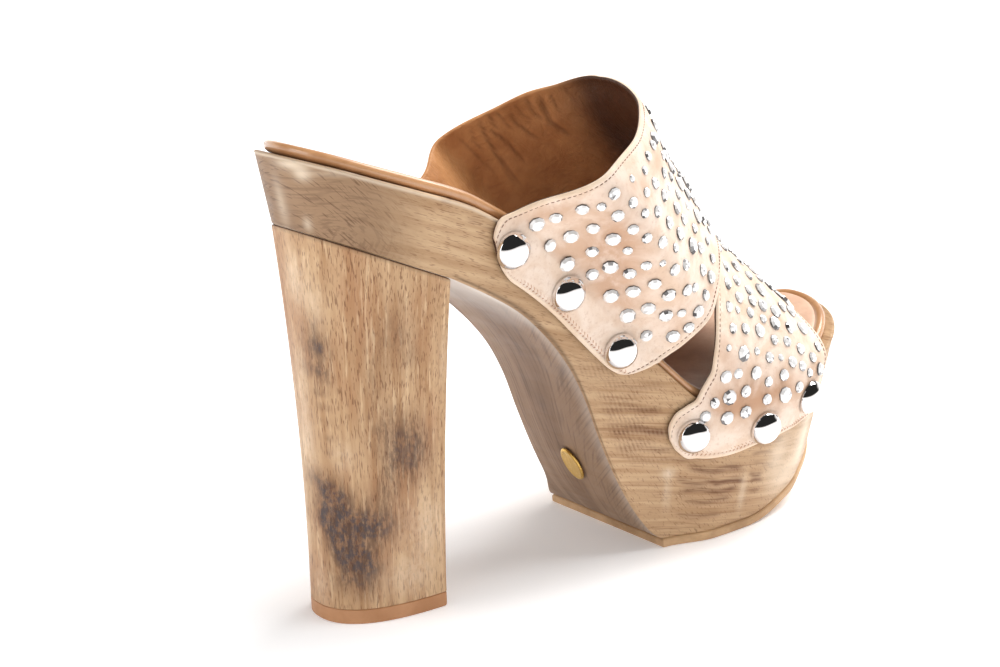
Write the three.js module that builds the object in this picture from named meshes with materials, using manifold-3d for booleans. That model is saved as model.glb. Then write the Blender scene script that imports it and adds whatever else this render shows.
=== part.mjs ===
import * as THREE from 'three';
import Module from 'manifold-3d';

// Frame, mm: +X runs from heel to toe, +Y to the wearer's left, +Z up, floor at z = 0.
// Sizes and tables count x from the back of the footbed. At the end the whole part is
// moved so that the origin lies on the floor under the middle of its bounding box.

// Wood body
const shoeLength = 236;
const ballWidth = 87;
const seatHeight = 151;
const heelRound = 37;
const toeRound = 36;
const endPower = 2.15;
const toeMiddle = 13;
const woodHeelLean = 4.3;
const woodToeLean = 9;
const archFoot = 131.4;
const archHeight = 109.7;
const breastAt = 44;
const seatSlope = 0.431;
const edgeRound = 0.9;
const wallLevels = [0.33, 0.66, 0.97];

// Heel block and its top piece
const blockTopRight = 29.2;
const blockTipHalf = 18.6;
const blockTipBack = 9.3;
const blockTipBreast = 46.2;
const blockBow = 1.6;
const breastCorner = 1.2;
const blockPowerTop = 2.3;
const blockPowerTip = 2.7;
const tipThickness = 4.8;
const tipEdge = 0.5;

// Outsole and insole
const outsoleThickness = 3;
const outsoleProud = 0.3;
const outsoleEdge = 0.6;
const toeSpring = 17;
const springStart = 168;
const springPower = 1.45;
const insoleThickness = 3.7;
const insoleSideInset = 1.5;
const insoleHeelInset = 3;
const insoleToeInset = 3;
const insoleRoll = 2.6;
const insetFrom = 0.74;
const insetRun = 0.2;

// Upper
const bandWall = 1.6;
const strapBite = 0.2;
const liftRun = 12;
const liftFade = 0.2;
const swellFull = 0.38;

// Nails and plate
const nailHead = 12.2;
const nailRise = 4.2;
const shankDiameter = 2.6;
const shankLength = 9;
const boreOver = 2;
const plateLong = 14;
const plateWide = 9;
const plateThickness = 0.9;
const plateAt = 110.4;
const plateSide = -4;

// Clearances
const meetGap = 0.3;
const shankGap = 0.3;
const strapGap = 0.45;
const plateGap = 0.6;
const nailGap = 0.45;

// Facets
const woodStationCount = 52;
const strapColumns = 12;
const strapRows = 14;
const nailFacets = 12;
const outsoleStationCount = 30;
const insoleStationCount = 44;
const blockLevels = 6;
const blockColumns = 16;
const plateFacets = 20;

// Plan of the wood: station as a share of the length, reach of each side at the top
// edge and at the foot of the wall as shares of the ball's width.
const planRows = [
  { at: 0.000, right: 0.361, left: 0.361, footRight: 0.337, footLeft: 0.337 },
  { at: 0.150, right: 0.361, left: 0.361, footRight: 0.338, footLeft: 0.338 },
  { at: 0.235, right: 0.361, left: 0.352, footRight: 0.337, footLeft: 0.325 },
  { at: 0.320, right: 0.352, left: 0.320, footRight: 0.326, footLeft: 0.262 },
  { at: 0.405, right: 0.347, left: 0.300, footRight: 0.312, footLeft: 0.203 },
  { at: 0.490, right: 0.362, left: 0.335, footRight: 0.300, footLeft: 0.240 },
  { at: 0.557, right: 0.392, left: 0.420, footRight: 0.300, footLeft: 0.395 },
  { at: 0.640, right: 0.436, left: 0.498, footRight: 0.352, footLeft: 0.442 },
  { at: 0.725, right: 0.452, left: 0.536, footRight: 0.340, footLeft: 0.455 },
  { at: 0.810, right: 0.408, left: 0.524, footRight: 0.288, footLeft: 0.438 },
  { at: 0.875, right: 0.322, left: 0.484, footRight: 0.225, footLeft: 0.392 },
  { at: 0.935, right: 0.284, left: 0.430, footRight: 0.195, footLeft: 0.345 },
  { at: 1.000, right: 0.250, left: 0.370, footRight: 0.180, footLeft: 0.300 },
];

// Footbed: height of the wood's top as a share of the seat's height.
const footbedRows = [
  { at: 0.000, height: 0.993 },
  { at: 0.042, height: 0.971 },
  { at: 0.085, height: 0.946 },
  { at: 0.136, height: 0.917 },
  { at: 0.212, height: 0.872 },
  { at: 0.254, height: 0.836 },
  { at: 0.297, height: 0.793 },
  { at: 0.339, height: 0.741 },
  { at: 0.381, height: 0.677 },
  { at: 0.424, height: 0.607 },
  { at: 0.466, height: 0.540 },
  { at: 0.500, height: 0.489 },
  { at: 0.525, height: 0.451 },
  { at: 0.555, height: 0.405 },
  { at: 0.585, height: 0.362 },
  { at: 0.619, height: 0.332 },
  { at: 0.657, height: 0.319 },
  { at: 0.699, height: 0.315 },
  { at: 0.754, height: 0.323 },
  { at: 0.814, height: 0.344 },
  { at: 0.869, height: 0.367 },
  { at: 0.932, height: 0.396 },
  { at: 1.000, height: 0.425 },
];

// Arch: the wood's underside from the breast (0) to the platform's back edge (1).
const archRows = [
  { run: 0.000, height: 1.000 },
  { run: 0.160, height: 0.930 },
  { run: 0.297, height: 0.860 },
  { run: 0.423, height: 0.767 },
  { run: 0.530, height: 0.660 },
  { run: 0.610, height: 0.542 },
  { run: 0.675, height: 0.415 },
  { run: 0.772, height: 0.255 },
  { run: 0.875, height: 0.123 },
  { run: 0.960, height: 0.048 },
  { run: 1.000, height: 0.030 },
];

// Last under the straps: lean of each section, its rise over the wood as a share of
// the ball's width, swell of the sides and shift of the crest.
const lastRows = [
  { at: 0.237, tilt: 37.0, rise: 0.851, swellRight: 0.200, swellLeft: 0.140, crest: 0.115, power: 1.90 },
  { at: 0.305, tilt: 42.0, rise: 0.834, swellRight: 0.260, swellLeft: 0.180, crest: 0.125, power: 1.85 },
  { at: 0.364, tilt: 44.5, rise: 0.814, swellRight: 0.270, swellLeft: 0.200, crest: 0.130, power: 1.85 },
  { at: 0.398, tilt: 42.4, rise: 0.775, swellRight: 0.255, swellLeft: 0.190, crest: 0.128, power: 1.85 },
  { at: 0.432, tilt: 39.9, rise: 0.755, swellRight: 0.235, swellLeft: 0.175, crest: 0.125, power: 1.85 },
  { at: 0.475, tilt: 38.0, rise: 0.751, swellRight: 0.190, swellLeft: 0.150, crest: 0.120, power: 1.85 },
  { at: 0.525, tilt: 33.4, rise: 0.730, swellRight: 0.130, swellLeft: 0.110, crest: 0.115, power: 1.90 },
  { at: 0.572, tilt: 28.5, rise: 0.694, swellRight: 0.083, swellLeft: 0.075, crest: 0.110, power: 1.95 },
  { at: 0.597, tilt: 26.5, rise: 0.677, swellRight: 0.060, swellLeft: 0.055, crest: 0.108, power: 1.95 },
  { at: 0.623, tilt: 25.1, rise: 0.659, swellRight: 0.043, swellLeft: 0.037, crest: 0.106, power: 1.95 },
  { at: 0.648, tilt: 23.9, rise: 0.633, swellRight: 0.028, swellLeft: 0.025, crest: 0.105, power: 1.95 },
  { at: 0.686, tilt: 22.5, rise: 0.572, swellRight: 0.012, swellLeft: 0.012, crest: 0.105, power: 1.95 },
  { at: 0.725, tilt: 21.4, rise: 0.502, swellRight: 0.005, swellLeft: 0.005, crest: 0.105, power: 1.93 },
  { at: 0.763, tilt: 20.5, rise: 0.417, swellRight: 0.000, swellLeft: 0.000, crest: 0.105, power: 1.90 },
  { at: 0.801, tilt: 19.9, rise: 0.326, swellRight: 0.000, swellLeft: 0.000, crest: 0.105, power: 1.80 },
  { at: 0.847, tilt: 19.0, rise: 0.217, swellRight: 0.000, swellLeft: 0.000, crest: 0.105, power: 1.70 },
  { at: 0.907, tilt: 14.5, rise: 0.132, swellRight: 0.000, swellLeft: 0.000, crest: 0.110, power: 1.70 },
];

// Straps: back and front edge along the girth, from the crest (0) over the wood's
// edge (1) to the hem (2), as shares of the length, and how far the left side's back
// edge lies further forward. Hem: depth below the wood's edge from back to front as
// shares of the seat's height.
const instepStrap = {
  name: 'instep',
  edges: [
    { girth: 0.00, back: 0.364, front: 0.617, lag: 0.000 },
    { girth: 0.28, back: 0.356, front: 0.592, lag: 0.000 },
    { girth: 0.43, back: 0.343, front: 0.564, lag: 0.000 },
    { girth: 0.57, back: 0.331, front: 0.550, lag: 0.000 },
    { girth: 0.71, back: 0.309, front: 0.539, lag: 0.004 },
    { girth: 0.84, back: 0.288, front: 0.533, lag: 0.012 },
    { girth: 0.91, back: 0.273, front: 0.530, lag: 0.018 },
    { girth: 0.96, back: 0.264, front: 0.525, lag: 0.020 },
    { girth: 1.00, back: 0.254, front: 0.520, lag: 0.022 },
    { girth: 1.30, back: 0.249, front: 0.507, lag: 0.022 },
    { girth: 1.60, back: 0.246, front: 0.493, lag: 0.022 },
    { girth: 1.85, back: 0.245, front: 0.480, lag: 0.022 },
    { girth: 2.00, back: 0.248, front: 0.471, lag: 0.022 },
  ],
  hem: [
    { along: 0.00, depth: 0.052 },
    { along: 0.05, depth: 0.100 },
    { along: 0.13, depth: 0.116 },
    { along: 0.26, depth: 0.118 },
    { along: 0.42, depth: 0.119 },
    { along: 0.58, depth: 0.119 },
    { along: 0.70, depth: 0.118 },
    { along: 0.84, depth: 0.115 },
    { along: 0.93, depth: 0.106 },
    { along: 1.00, depth: 0.088 },
  ],
};
const toeStrap = {
  name: 'toe',
  edges: [
    { girth: 0.00, back: 0.600, front: 0.835, lag: 0.000 },
    { girth: 0.30, back: 0.578, front: 0.838, lag: 0.000 },
    { girth: 0.60, back: 0.545, front: 0.850, lag: 0.000 },
    { girth: 0.74, back: 0.551, front: 0.856, lag: 0.000 },
    { girth: 0.84, back: 0.571, front: 0.859, lag: 0.000 },
    { girth: 0.91, back: 0.583, front: 0.861, lag: 0.000 },
    { girth: 1.00, back: 0.582, front: 0.862, lag: 0.000 },
    { girth: 1.25, back: 0.568, front: 0.862, lag: 0.000 },
    { girth: 1.60, back: 0.549, front: 0.860, lag: 0.000 },
    { girth: 1.85, back: 0.543, front: 0.853, lag: 0.000 },
    { girth: 2.00, back: 0.546, front: 0.843, lag: 0.000 },
  ],
  hem: [
    { along: 0.00, depth: 0.146 },
    { along: 0.04, depth: 0.157 },
    { along: 0.09, depth: 0.155 },
    { along: 0.16, depth: 0.137 },
    { along: 0.26, depth: 0.119 },
    { along: 0.38, depth: 0.106 },
    { along: 0.52, depth: 0.093 },
    { along: 0.66, depth: 0.091 },
    { along: 0.80, depth: 0.099 },
    { along: 0.93, depth: 0.104 },
    { along: 1.00, depth: 0.085 },
  ],
};

// Nails: station as a share of the length, depth below the wood's edge as a share of
// the seat's height.
const nailRows = [
  { strap: 'instep', number: 1, at: 0.273, depth: 0.050, lag: 0.022 },
  { strap: 'instep', number: 2, at: 0.367, depth: 0.047, lag: 0.000 },
  { strap: 'instep', number: 3, at: 0.457, depth: 0.051, lag: 0.000 },
  { strap: 'toe', number: 1, at: 0.581, depth: 0.091, lag: 0.000 },
  { strap: 'toe', number: 2, at: 0.701, depth: 0.052, lag: 0.000 },
  { strap: 'toe', number: 3, at: 0.799, depth: 0.038, lag: 0.000 },
];

function clamp(v, low, high) {
  return Math.min(Math.max(v, low), high);
}

function mix(a, b, t) {
  return a + (b - a) * t;
}

function ease(t) {
  const c = clamp(t, 0, 1);
  return c * c * (3 - 2 * c);
}

// A smooth curve through a table's column that never overshoots its rows.
function column(rows, key, name, keyScale, scale) {
  const xs = rows.map((r) => r[key] * keyScale);
  const ys = rows.map((r) => r[name] * scale);
  const n = xs.length;
  const slopes = [];
  for (let i = 0; i < n - 1; i += 1) {
    slopes.push((ys[i + 1] - ys[i]) / (xs[i + 1] - xs[i]));
  }
  const tangents = [slopes[0]];
  for (let i = 1; i < n - 1; i += 1) {
    const a = slopes[i - 1];
    const b = slopes[i];
    tangents.push(a * b <= 0 ? 0 : (2 * a * b) / (a + b));
  }
  tangents.push(slopes[n - 2]);
  return (x) => {
    const c = clamp(x, xs[0], xs[n - 1]);
    let i = 0;
    while (i < n - 2 && c > xs[i + 1]) {
      i += 1;
    }
    const h = xs[i + 1] - xs[i];
    const t = (c - xs[i]) / h;
    const t2 = t * t;
    const t3 = t2 * t;
    return (2 * t3 - 3 * t2 + 1) * ys[i] + (t3 - 2 * t2 + t) * h * tangents[i]
      + (3 * t2 - 2 * t3) * ys[i + 1] + (t3 - t2) * h * tangents[i + 1];
  };
}

const planRight = column(planRows, 'at', 'right', shoeLength, -ballWidth);
const planLeft = column(planRows, 'at', 'left', shoeLength, ballWidth);
const footRight = column(planRows, 'at', 'footRight', shoeLength, -ballWidth);
const footLeft = column(planRows, 'at', 'footLeft', shoeLength, ballWidth);
const woodTop = column(footbedRows, 'at', 'height', shoeLength, seatHeight);
const archCurve = column(archRows, 'run', 'height', archFoot - breastAt, archHeight);
const lastTilt = column(lastRows, 'at', 'tilt', shoeLength, Math.PI / 180);
const lastRise = column(lastRows, 'at', 'rise', shoeLength, ballWidth);
const swellRight = column(lastRows, 'at', 'swellRight', shoeLength, ballWidth);
const swellLeft = column(lastRows, 'at', 'swellLeft', shoeLength, ballWidth);
const lastCrest = column(lastRows, 'at', 'crest', shoeLength, ballWidth);
const lastPower = column(lastRows, 'at', 'power', shoeLength, 1);

function soleFloor(x) {
  const run = Math.max(0, x - springStart) / (shoeLength - woodToeLean - springStart);
  return toeSpring * run ** springPower;
}

function woodBottom(x) {
  if (x <= breastAt) {
    return archHeight + (breastAt - x) * seatSlope;
  }
  if (x < archFoot) {
    return archCurve(x - breastAt);
  }
  return soleFloor(x) + outsoleThickness + meetGap;
}

function endRound(share) {
  const inside = clamp(1 - share, 0, 1);
  return (1 - inside ** endPower) ** (1 / endPower);
}

function toeShift(x) {
  return toeMiddle * ease((x - shoeLength / 2) / (shoeLength / 2));
}

// Reach of the wood's wall on one side (-1 right, 1 left) at a share of the way from
// its top edge to its foot.
function woodReach(side, x, down, inset) {
  const top = side < 0 ? planRight(x) : planLeft(x);
  const foot = side < 0 ? footRight(x) : footLeft(x);
  const wall = mix(top, foot, down);
  const back = woodHeelLean * down + inset;
  const front = shoeLength - woodToeLean * down - inset;
  const middle = toeShift(x);
  const round = endRound((x - back) / heelRound) * endRound((front - x) / toeRound);
  return middle + (wall - side * inset - middle) * round;
}

function geometryOf(points, triangles) {
  const geometry = new THREE.BufferGeometry();
  const flat = points.flatMap((p) => [p.x, p.y, p.z]);
  geometry.setAttribute('position', new THREE.Float32BufferAttribute(flat, 3));
  geometry.setIndex(triangles);
  return geometry;
}

// A closed skin over rings from top to bottom. Each ring has its right side from back
// to front and its left side beside it; both ends may be pinched to one point.
function skinOverRings(rings) {
  const points = [];
  const triangles = [];
  const count = rings[0].right.length;
  const pinchedBack = rings[0].right[0].distanceTo(rings[0].left[0]) < 1e-6;
  const pinchedFront = rings[0].right[count - 1].distanceTo(rings[0].left[count - 1]) < 1e-6;
  const maps = rings.map((ring) => {
    const right = ring.right.map((p) => points.push(p) - 1);
    const left = ring.left.map((p, i) => {
      const shared = (i === 0 && pinchedBack) || (i === count - 1 && pinchedFront);
      return shared ? right[i] : points.push(p) - 1;
    });
    return { right, left };
  });
  const add = (a, b, c) => {
    if (a !== b && b !== c && a !== c) {
      triangles.push(a, b, c);
    }
  };
  const wall = (topA, topB, lowA, lowB) => {
    add(topA, lowA, lowB);
    add(topA, lowB, topB);
  };
  for (let k = 0; k < maps.length - 1; k += 1) {
    const top = maps[k];
    const low = maps[k + 1];
    for (let i = 0; i < count - 1; i += 1) {
      wall(top.right[i], top.right[i + 1], low.right[i], low.right[i + 1]);
      wall(top.left[i + 1], top.left[i], low.left[i + 1], low.left[i]);
    }
    if (!pinchedFront) {
      const e = count - 1;
      wall(top.right[e], top.left[e], low.right[e], low.left[e]);
    }
    if (!pinchedBack) {
      wall(top.left[0], top.right[0], low.left[0], low.right[0]);
    }
  }
  const first = maps[0];
  const last = maps[maps.length - 1];
  for (let i = 0; i < count - 1; i += 1) {
    add(first.right[i], first.right[i + 1], first.left[i + 1]);
    add(first.right[i], first.left[i + 1], first.left[i]);
    add(last.right[i], last.left[i + 1], last.right[i + 1]);
    add(last.right[i], last.left[i], last.left[i + 1]);
  }
  return geometryOf(points, triangles);
}

// Stations from 0 to 1, closer together toward both ends.
function endSpaced(count) {
  return Array.from({ length: count + 1 }, (_, i) => (1 - Math.cos((Math.PI * i) / count)) / 2);
}

function ringAt(stations, back, front, reach, height) {
  const right = [];
  const left = [];
  for (const s of stations) {
    const x = mix(back, front, s);
    const z = height(x);
    right.push(new THREE.Vector3(x, reach(-1, x), z));
    left.push(new THREE.Vector3(x, reach(1, x), z));
  }
  return { right, left };
}

function pinch(ring, atBack, atFront) {
  const end = ring.right.length - 1;
  if (atBack) {
    ring.left[0].copy(ring.right[0]);
  }
  if (atFront) {
    ring.left[end].copy(ring.right[end]);
  }
  return ring;
}

// Bottom stations fall on the breast line and on the platform's back edge.
function woodStations() {
  const back = woodHeelLean;
  const span = shoeLength - woodToeLean - back;
  const stations = endSpaced(woodStationCount);
  for (const x of [breastAt, archFoot]) {
    const want = (x - back) / span;
    let best = 0;
    stations.forEach((s, i) => {
      if (Math.abs(s - want) < Math.abs(stations[best] - want)) {
        best = i;
      }
    });
    stations[best] = want;
  }
  return stations;
}

function buildWood() {
  const stations = woodStations();
  const levels = [
    { down: 0.0, drop: 0, inset: edgeRound },
    { down: 0.0, drop: edgeRound * 0.3, inset: edgeRound * 0.3 },
    { down: 0.0, drop: edgeRound, inset: 0 },
    ...wallLevels.map((down) => ({ down, drop: 0, inset: 0 })),
    { down: 1.0, drop: 0, inset: edgeRound * 0.5 },
  ];
  const rings = levels.map((level) => {
    const back = woodHeelLean * level.down + level.inset;
    const front = shoeLength - woodToeLean * level.down - level.inset;
    const reach = (side, x) => woodReach(side, x, level.down, level.inset);
    const height = (x) => mix(woodTop(x), woodBottom(x), level.down) - level.drop;
    return pinch(ringAt(stations, back, front, reach, height), true, true);
  });
  return skinOverRings(rings);
}

// Heel block: a rounded back and a flat breast, tapered to the top piece.
function blockRing(down, inset, height) {
  const bow = blockBow * 4 * down * (1 - down);
  const back = mix(woodHeelLean + meetGap, blockTipBack, down) + bow + inset;
  const front = mix(breastAt, blockTipBreast, down) - inset;
  const half = mix(blockTopRight, blockTipHalf, down) - bow - inset;
  const right = [];
  const left = [];
  const push = (x, y) => {
    right.push(new THREE.Vector3(x, -y, height(x)));
    left.push(new THREE.Vector3(x, y, height(x)));
  };
  const power = mix(blockPowerTop, blockPowerTip, down);
  const span = front - breastCorner - back;
  for (let i = 0; i <= blockColumns; i += 1) {
    const a = (Math.PI / 2) * (i / blockColumns);
    const x = back + span * (1 - Math.cos(a));
    const share = clamp((front - breastCorner - x) / span, 0, 1);
    push(x, half * (1 - share ** power) ** (1 / blockPowerTop));
  }
  push(front, half - breastCorner);
  return pinch({ right, left }, true, false);
}

function buildBlock() {
  const seam = (x) => archHeight + (breastAt - x) * seatSlope - meetGap * 2;
  const rings = [];
  for (let k = 0; k <= blockLevels; k += 1) {
    const down = k / blockLevels;
    rings.push(blockRing(down, 0, (x) => mix(seam(x), tipThickness + meetGap, down)));
  }
  return skinOverRings(rings);
}

function buildTip() {
  const rings = [
    blockRing(1, tipEdge / 2, () => tipThickness),
    blockRing(1, 0, () => tipThickness - tipEdge),
    blockRing(1, 0, () => tipEdge),
    blockRing(1, tipEdge, () => 0),
  ];
  return skinOverRings(rings);
}

function buildOutsole() {
  const stations = endSpaced(outsoleStationCount);
  const levels = [
    { rise: outsoleThickness, inset: outsoleEdge / 3 },
    { rise: outsoleThickness - outsoleEdge, inset: -outsoleProud },
    { rise: outsoleEdge, inset: -outsoleProud },
    { rise: 0, inset: outsoleEdge },
  ];
  const rings = levels.map((level) => {
    const back = archFoot + level.inset;
    const front = shoeLength - woodToeLean - level.inset;
    const reach = (side, x) => woodReach(side, x, 1, level.inset);
    return pinch(ringAt(stations, back, front, reach, (x) => soleFloor(x) + level.rise), false, true);
  });
  return skinOverRings(rings);
}

function insoleInset(x) {
  const share = ease((x / shoeLength - insetFrom) / insetRun);
  return mix(insoleSideInset, insoleToeInset, share);
}

function buildInsole() {
  const stations = endSpaced(insoleStationCount);
  const levels = [
    { rise: 1.0, inset: insoleRoll },
    { rise: 0.93, inset: insoleRoll * 0.42 },
    { rise: 0.72, inset: insoleRoll * 0.08 },
    { rise: 0.45, inset: 0 },
    { rise: 0.18, inset: insoleRoll * 0.12 },
    { rise: 0.0, inset: insoleRoll * 0.54 },
  ];
  const rings = levels.map((level) => {
    const back = insoleHeelInset + level.inset;
    const front = shoeLength - insoleToeInset - level.inset;
    const reach = (side, x) => {
      const middle = toeShift(x);
      const wall = side < 0 ? planRight(x) : planLeft(x);
      const round = endRound((x - back) / heelRound) * endRound((front - x) / toeRound);
      return middle + (wall - side * (insoleInset(x) + level.inset) - middle) * round;
    };
    const height = (x) => woodTop(x) + meetGap + insoleThickness * level.rise;
    return pinch(ringAt(stations, back, front, reach, height), true, true);
  });
  return skinOverRings(rings);
}

// The last's skin. Girth runs from the crest (0) over the wood's edge (1 or -1) to the
// hem (2 or -2); hemDepth is the hem's depth below the edge there.
function lastPoint(x, girth, hemDepth) {
  const side = girth < 0 ? -1 : 1;
  const turn = Math.abs(girth);
  if (turn > 1) {
    const drop = (turn - 1) * hemDepth;
    const down = drop / (woodTop(x) - woodBottom(x));
    return new THREE.Vector3(x, woodReach(side, x, down, -strapGap), woodTop(x) - drop);
  }
  const up = Math.cos((turn * Math.PI) / 2);
  const power = lastPower(x);
  const half = (1 - up ** power) ** (1 / power);
  const ramp = Math.sin((Math.PI / 2) * Math.min(up / swellFull, 1)) ** 2;
  const swell = side < 0 ? swellRight(x) * ramp : swellLeft(x) * ramp ** 2;
  const base = woodReach(side, x, 0, -strapGap);
  const crest = lastCrest(x);
  const y = crest + (base + side * swell - crest) * half;
  const rise = up * lastRise(x);
  const tilt = lastTilt(x);
  return new THREE.Vector3(x + rise * Math.sin(tilt), y, woodTop(x) + rise * Math.cos(tilt));
}

function lastNormal(x, girth, hemDepth) {
  const step = 0.02;
  const ahead = lastPoint(x + 0.5, girth, hemDepth);
  const behind = lastPoint(x - 0.5, girth, hemDepth);
  const more = lastPoint(x, clamp(girth + step, -2, 2), hemDepth);
  const less = lastPoint(x, clamp(girth - step, -2, 2), hemDepth);
  const along = ahead.sub(behind);
  const across = more.sub(less);
  return along.cross(across).normalize();
}

const toeBack = column(toeStrap.edges, 'girth', 'back', 1, shoeLength);

function strapLift(strap, x, girth) {
  if (strap.name !== 'instep') {
    return 0;
  }
  const near = (x - toeBack(Math.abs(girth)) + liftRun) / liftRun;
  return (bandWall - strapBite) * ease(near) * ease((1 - Math.abs(girth)) / liftFade);
}

function buildStrap(strap) {
  const back = column(strap.edges, 'girth', 'back', 1, shoeLength);
  const front = column(strap.edges, 'girth', 'front', 1, shoeLength);
  const lag = column(strap.edges, 'girth', 'lag', 1, shoeLength);
  const hem = column(strap.hem, 'along', 'depth', 1, seatHeight);
  const across = endSpaced(strapColumns);
  const half = [];
  for (let i = 0; i <= strapRows; i += 1) {
    half.push(i / strapRows);
  }
  const tail = [1.25, 1.5, 1.75, 2];
  const positive = half.concat(tail);
  const girths = positive.slice(1).reverse().map((g) => -g).concat(positive);
  const points = [];
  const rowOf = (girth, outer) => across.map((s) => {
    const turn = Math.abs(girth);
    const late = girth > 0 ? lag(turn) : 0;
    const x = mix(back(turn) + late, front(turn), s);
    const depth = hem(s);
    const normal = lastNormal(x, girth, depth);
    const offset = strapLift(strap, x, girth) + (outer ? bandWall : 0);
    const p = lastPoint(x, girth, depth).addScaledVector(normal, offset);
    return points.push(p) - 1;
  });
  const inner = girths.map((g) => rowOf(g, false));
  const outer = girths.map((g) => rowOf(g, true));
  const triangles = [];
  const quad = (a, b, c, d) => {
    triangles.push(a, b, c, a, c, d);
  };
  const rows = girths.length - 1;
  const cols = across.length - 1;
  for (let r = 0; r < rows; r += 1) {
    for (let c = 0; c < cols; c += 1) {
      quad(outer[r][c], outer[r][c + 1], outer[r + 1][c + 1], outer[r + 1][c]);
      quad(inner[r][c], inner[r + 1][c], inner[r + 1][c + 1], inner[r][c + 1]);
    }
    quad(outer[r][0], outer[r + 1][0], inner[r + 1][0], inner[r][0]);
    quad(outer[r + 1][cols], outer[r][cols], inner[r][cols], inner[r + 1][cols]);
  }
  for (let c = 0; c < cols; c += 1) {
    quad(outer[0][c + 1], outer[0][c], inner[0][c], inner[0][c + 1]);
    quad(outer[rows][c], outer[rows][c + 1], inner[rows][c + 1], inner[rows][c]);
  }
  return geometryOf(points, triangles);
}

function lathe(profile, segments) {
  const geometry = new THREE.LatheGeometry(profile.map((p) => new THREE.Vector2(p[0], p[1])), segments);
  geometry.rotateX(Math.PI / 2);
  return geometry;
}

// A nail about its own axis: the head's back lies at z = 0 and the shank goes down.
function nailProfile() {
  const head = nailHead / 2;
  const rows = [
    [0, -shankLength],
    [shankDiameter / 2, -shankLength],
    [shankDiameter / 2, 0],
    [head * 0.96, 0],
    [head, nailRise * 0.12],
    [head * 0.86, nailRise * 0.56],
    [head * 0.5, nailRise * 0.9],
    [0, nailRise],
  ];
  return rows;
}

function nailFrames() {
  const frames = [];
  for (const side of [-1, 1]) {
    for (const row of nailRows) {
      const x = (row.at + (side > 0 ? row.lag : 0)) * shoeLength;
      const drop = row.depth * seatHeight;
      const girth = side * 2;
      const skin = lastPoint(x, girth, drop);
      const normal = lastNormal(x, side * 1.98, drop / 0.98);
      const seat = skin.clone().addScaledVector(normal, bandWall + nailGap);
      const name = `nail_${row.strap}_${side < 0 ? 'right' : 'left'}_${row.number}`;
      frames.push({ name, seat, normal });
    }
  }
  return frames;
}

function placed(geometry, seat, normal) {
  const turn = new THREE.Quaternion().setFromUnitVectors(new THREE.Vector3(0, 0, 1), normal);
  const matrix = new THREE.Matrix4().compose(seat, turn, new THREE.Vector3(1, 1, 1));
  return geometry.clone().applyMatrix4(matrix);
}

function nailBore() {
  const radius = shankDiameter / 2 + shankGap;
  const low = -shankLength - shankGap;
  return lathe([[0, low], [radius, low], [radius, boreOver], [0, boreOver]], nailFacets);
}

// Oval plate let lie on the arch's underside.
function buildPlate() {
  const rings = [
    { share: 0.0, rise: 0 },
    { share: 0.98, rise: 0 },
    { share: 1.0, rise: plateThickness * 0.17 },
    { share: 0.97, rise: plateThickness * 0.6 },
    { share: 0.8, rise: plateThickness },
    { share: 0.0, rise: plateThickness },
  ];
  const profile = rings.map((r) => [r.share, r.rise]);
  const geometry = lathe(profile, plateFacets);
  geometry.scale(plateLong / 2, plateWide / 2, 1);
  const reach = plateLong / 4;
  const drop = woodBottom(plateAt + reach) - woodBottom(plateAt - reach);
  const along = new THREE.Vector3(2 * reach, 0, drop).normalize();
  const normal = new THREE.Vector3(along.z, 0, -along.x).normalize();
  const across = new THREE.Vector3().crossVectors(normal, along);
  const seat = new THREE.Vector3(plateAt, plateSide, woodBottom(plateAt));
  seat.addScaledVector(normal, plateGap);
  const basis = new THREE.Matrix4().makeBasis(along, across, normal);
  basis.setPosition(seat);
  return geometry.applyMatrix4(basis);
}

const wasm = await Module();
wasm.setup();

function toSolid(geometry) {
  const position = geometry.getAttribute('position');
  const keys = new Map();
  const verts = [];
  const remap = [];
  for (let i = 0; i < position.count; i += 1) {
    const p = [position.getX(i), position.getY(i), position.getZ(i)];
    const key = p.map((v) => Math.round(v * 1e4)).join(',');
    if (!keys.has(key)) {
      keys.set(key, verts.length / 3);
      verts.push(...p);
    }
    remap.push(keys.get(key));
  }
  const source = geometry.index ? Array.from(geometry.index.array) : remap.map((_, i) => i);
  const tris = [];
  for (let i = 0; i < source.length; i += 3) {
    const [a, b, c] = [remap[source[i]], remap[source[i + 1]], remap[source[i + 2]]];
    if (a !== b && b !== c && a !== c) {
      tris.push(a, b, c);
    }
  }
  const mesh = new wasm.Mesh({
    numProp: 3,
    vertProperties: new Float32Array(verts),
    triVerts: new Uint32Array(tris),
  });
  return new wasm.Manifold(mesh);
}

function fromSolid(solid) {
  const mesh = solid.getMesh();
  const geometry = new THREE.BufferGeometry();
  const stride = mesh.numProp;
  const verts = [];
  for (let i = 0; i < mesh.vertProperties.length; i += stride) {
    verts.push(mesh.vertProperties[i], mesh.vertProperties[i + 1], mesh.vertProperties[i + 2]);
  }
  geometry.setAttribute('position', new THREE.Float32BufferAttribute(verts, 3));
  geometry.setIndex(Array.from(mesh.triVerts));
  return geometry;
}

const part = new THREE.Group();
part.name = 'sandal';

function addNode(name, geometry, color) {
  geometry.computeVertexNormals();
  const mesh = new THREE.Mesh(geometry, new THREE.MeshStandardMaterial({ color }));
  mesh.name = name;
  part.add(mesh);
}

const frames = nailFrames();
const bores = frames.map((f) => toSolid(placed(nailBore(), f.seat, f.normal)));
let wood = toSolid(buildWood());
let upper = toSolid(buildStrap(instepStrap)).add(toSolid(buildStrap(toeStrap)));
for (const bore of bores) {
  wood = wood.subtract(bore);
  upper = upper.subtract(bore);
}

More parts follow.
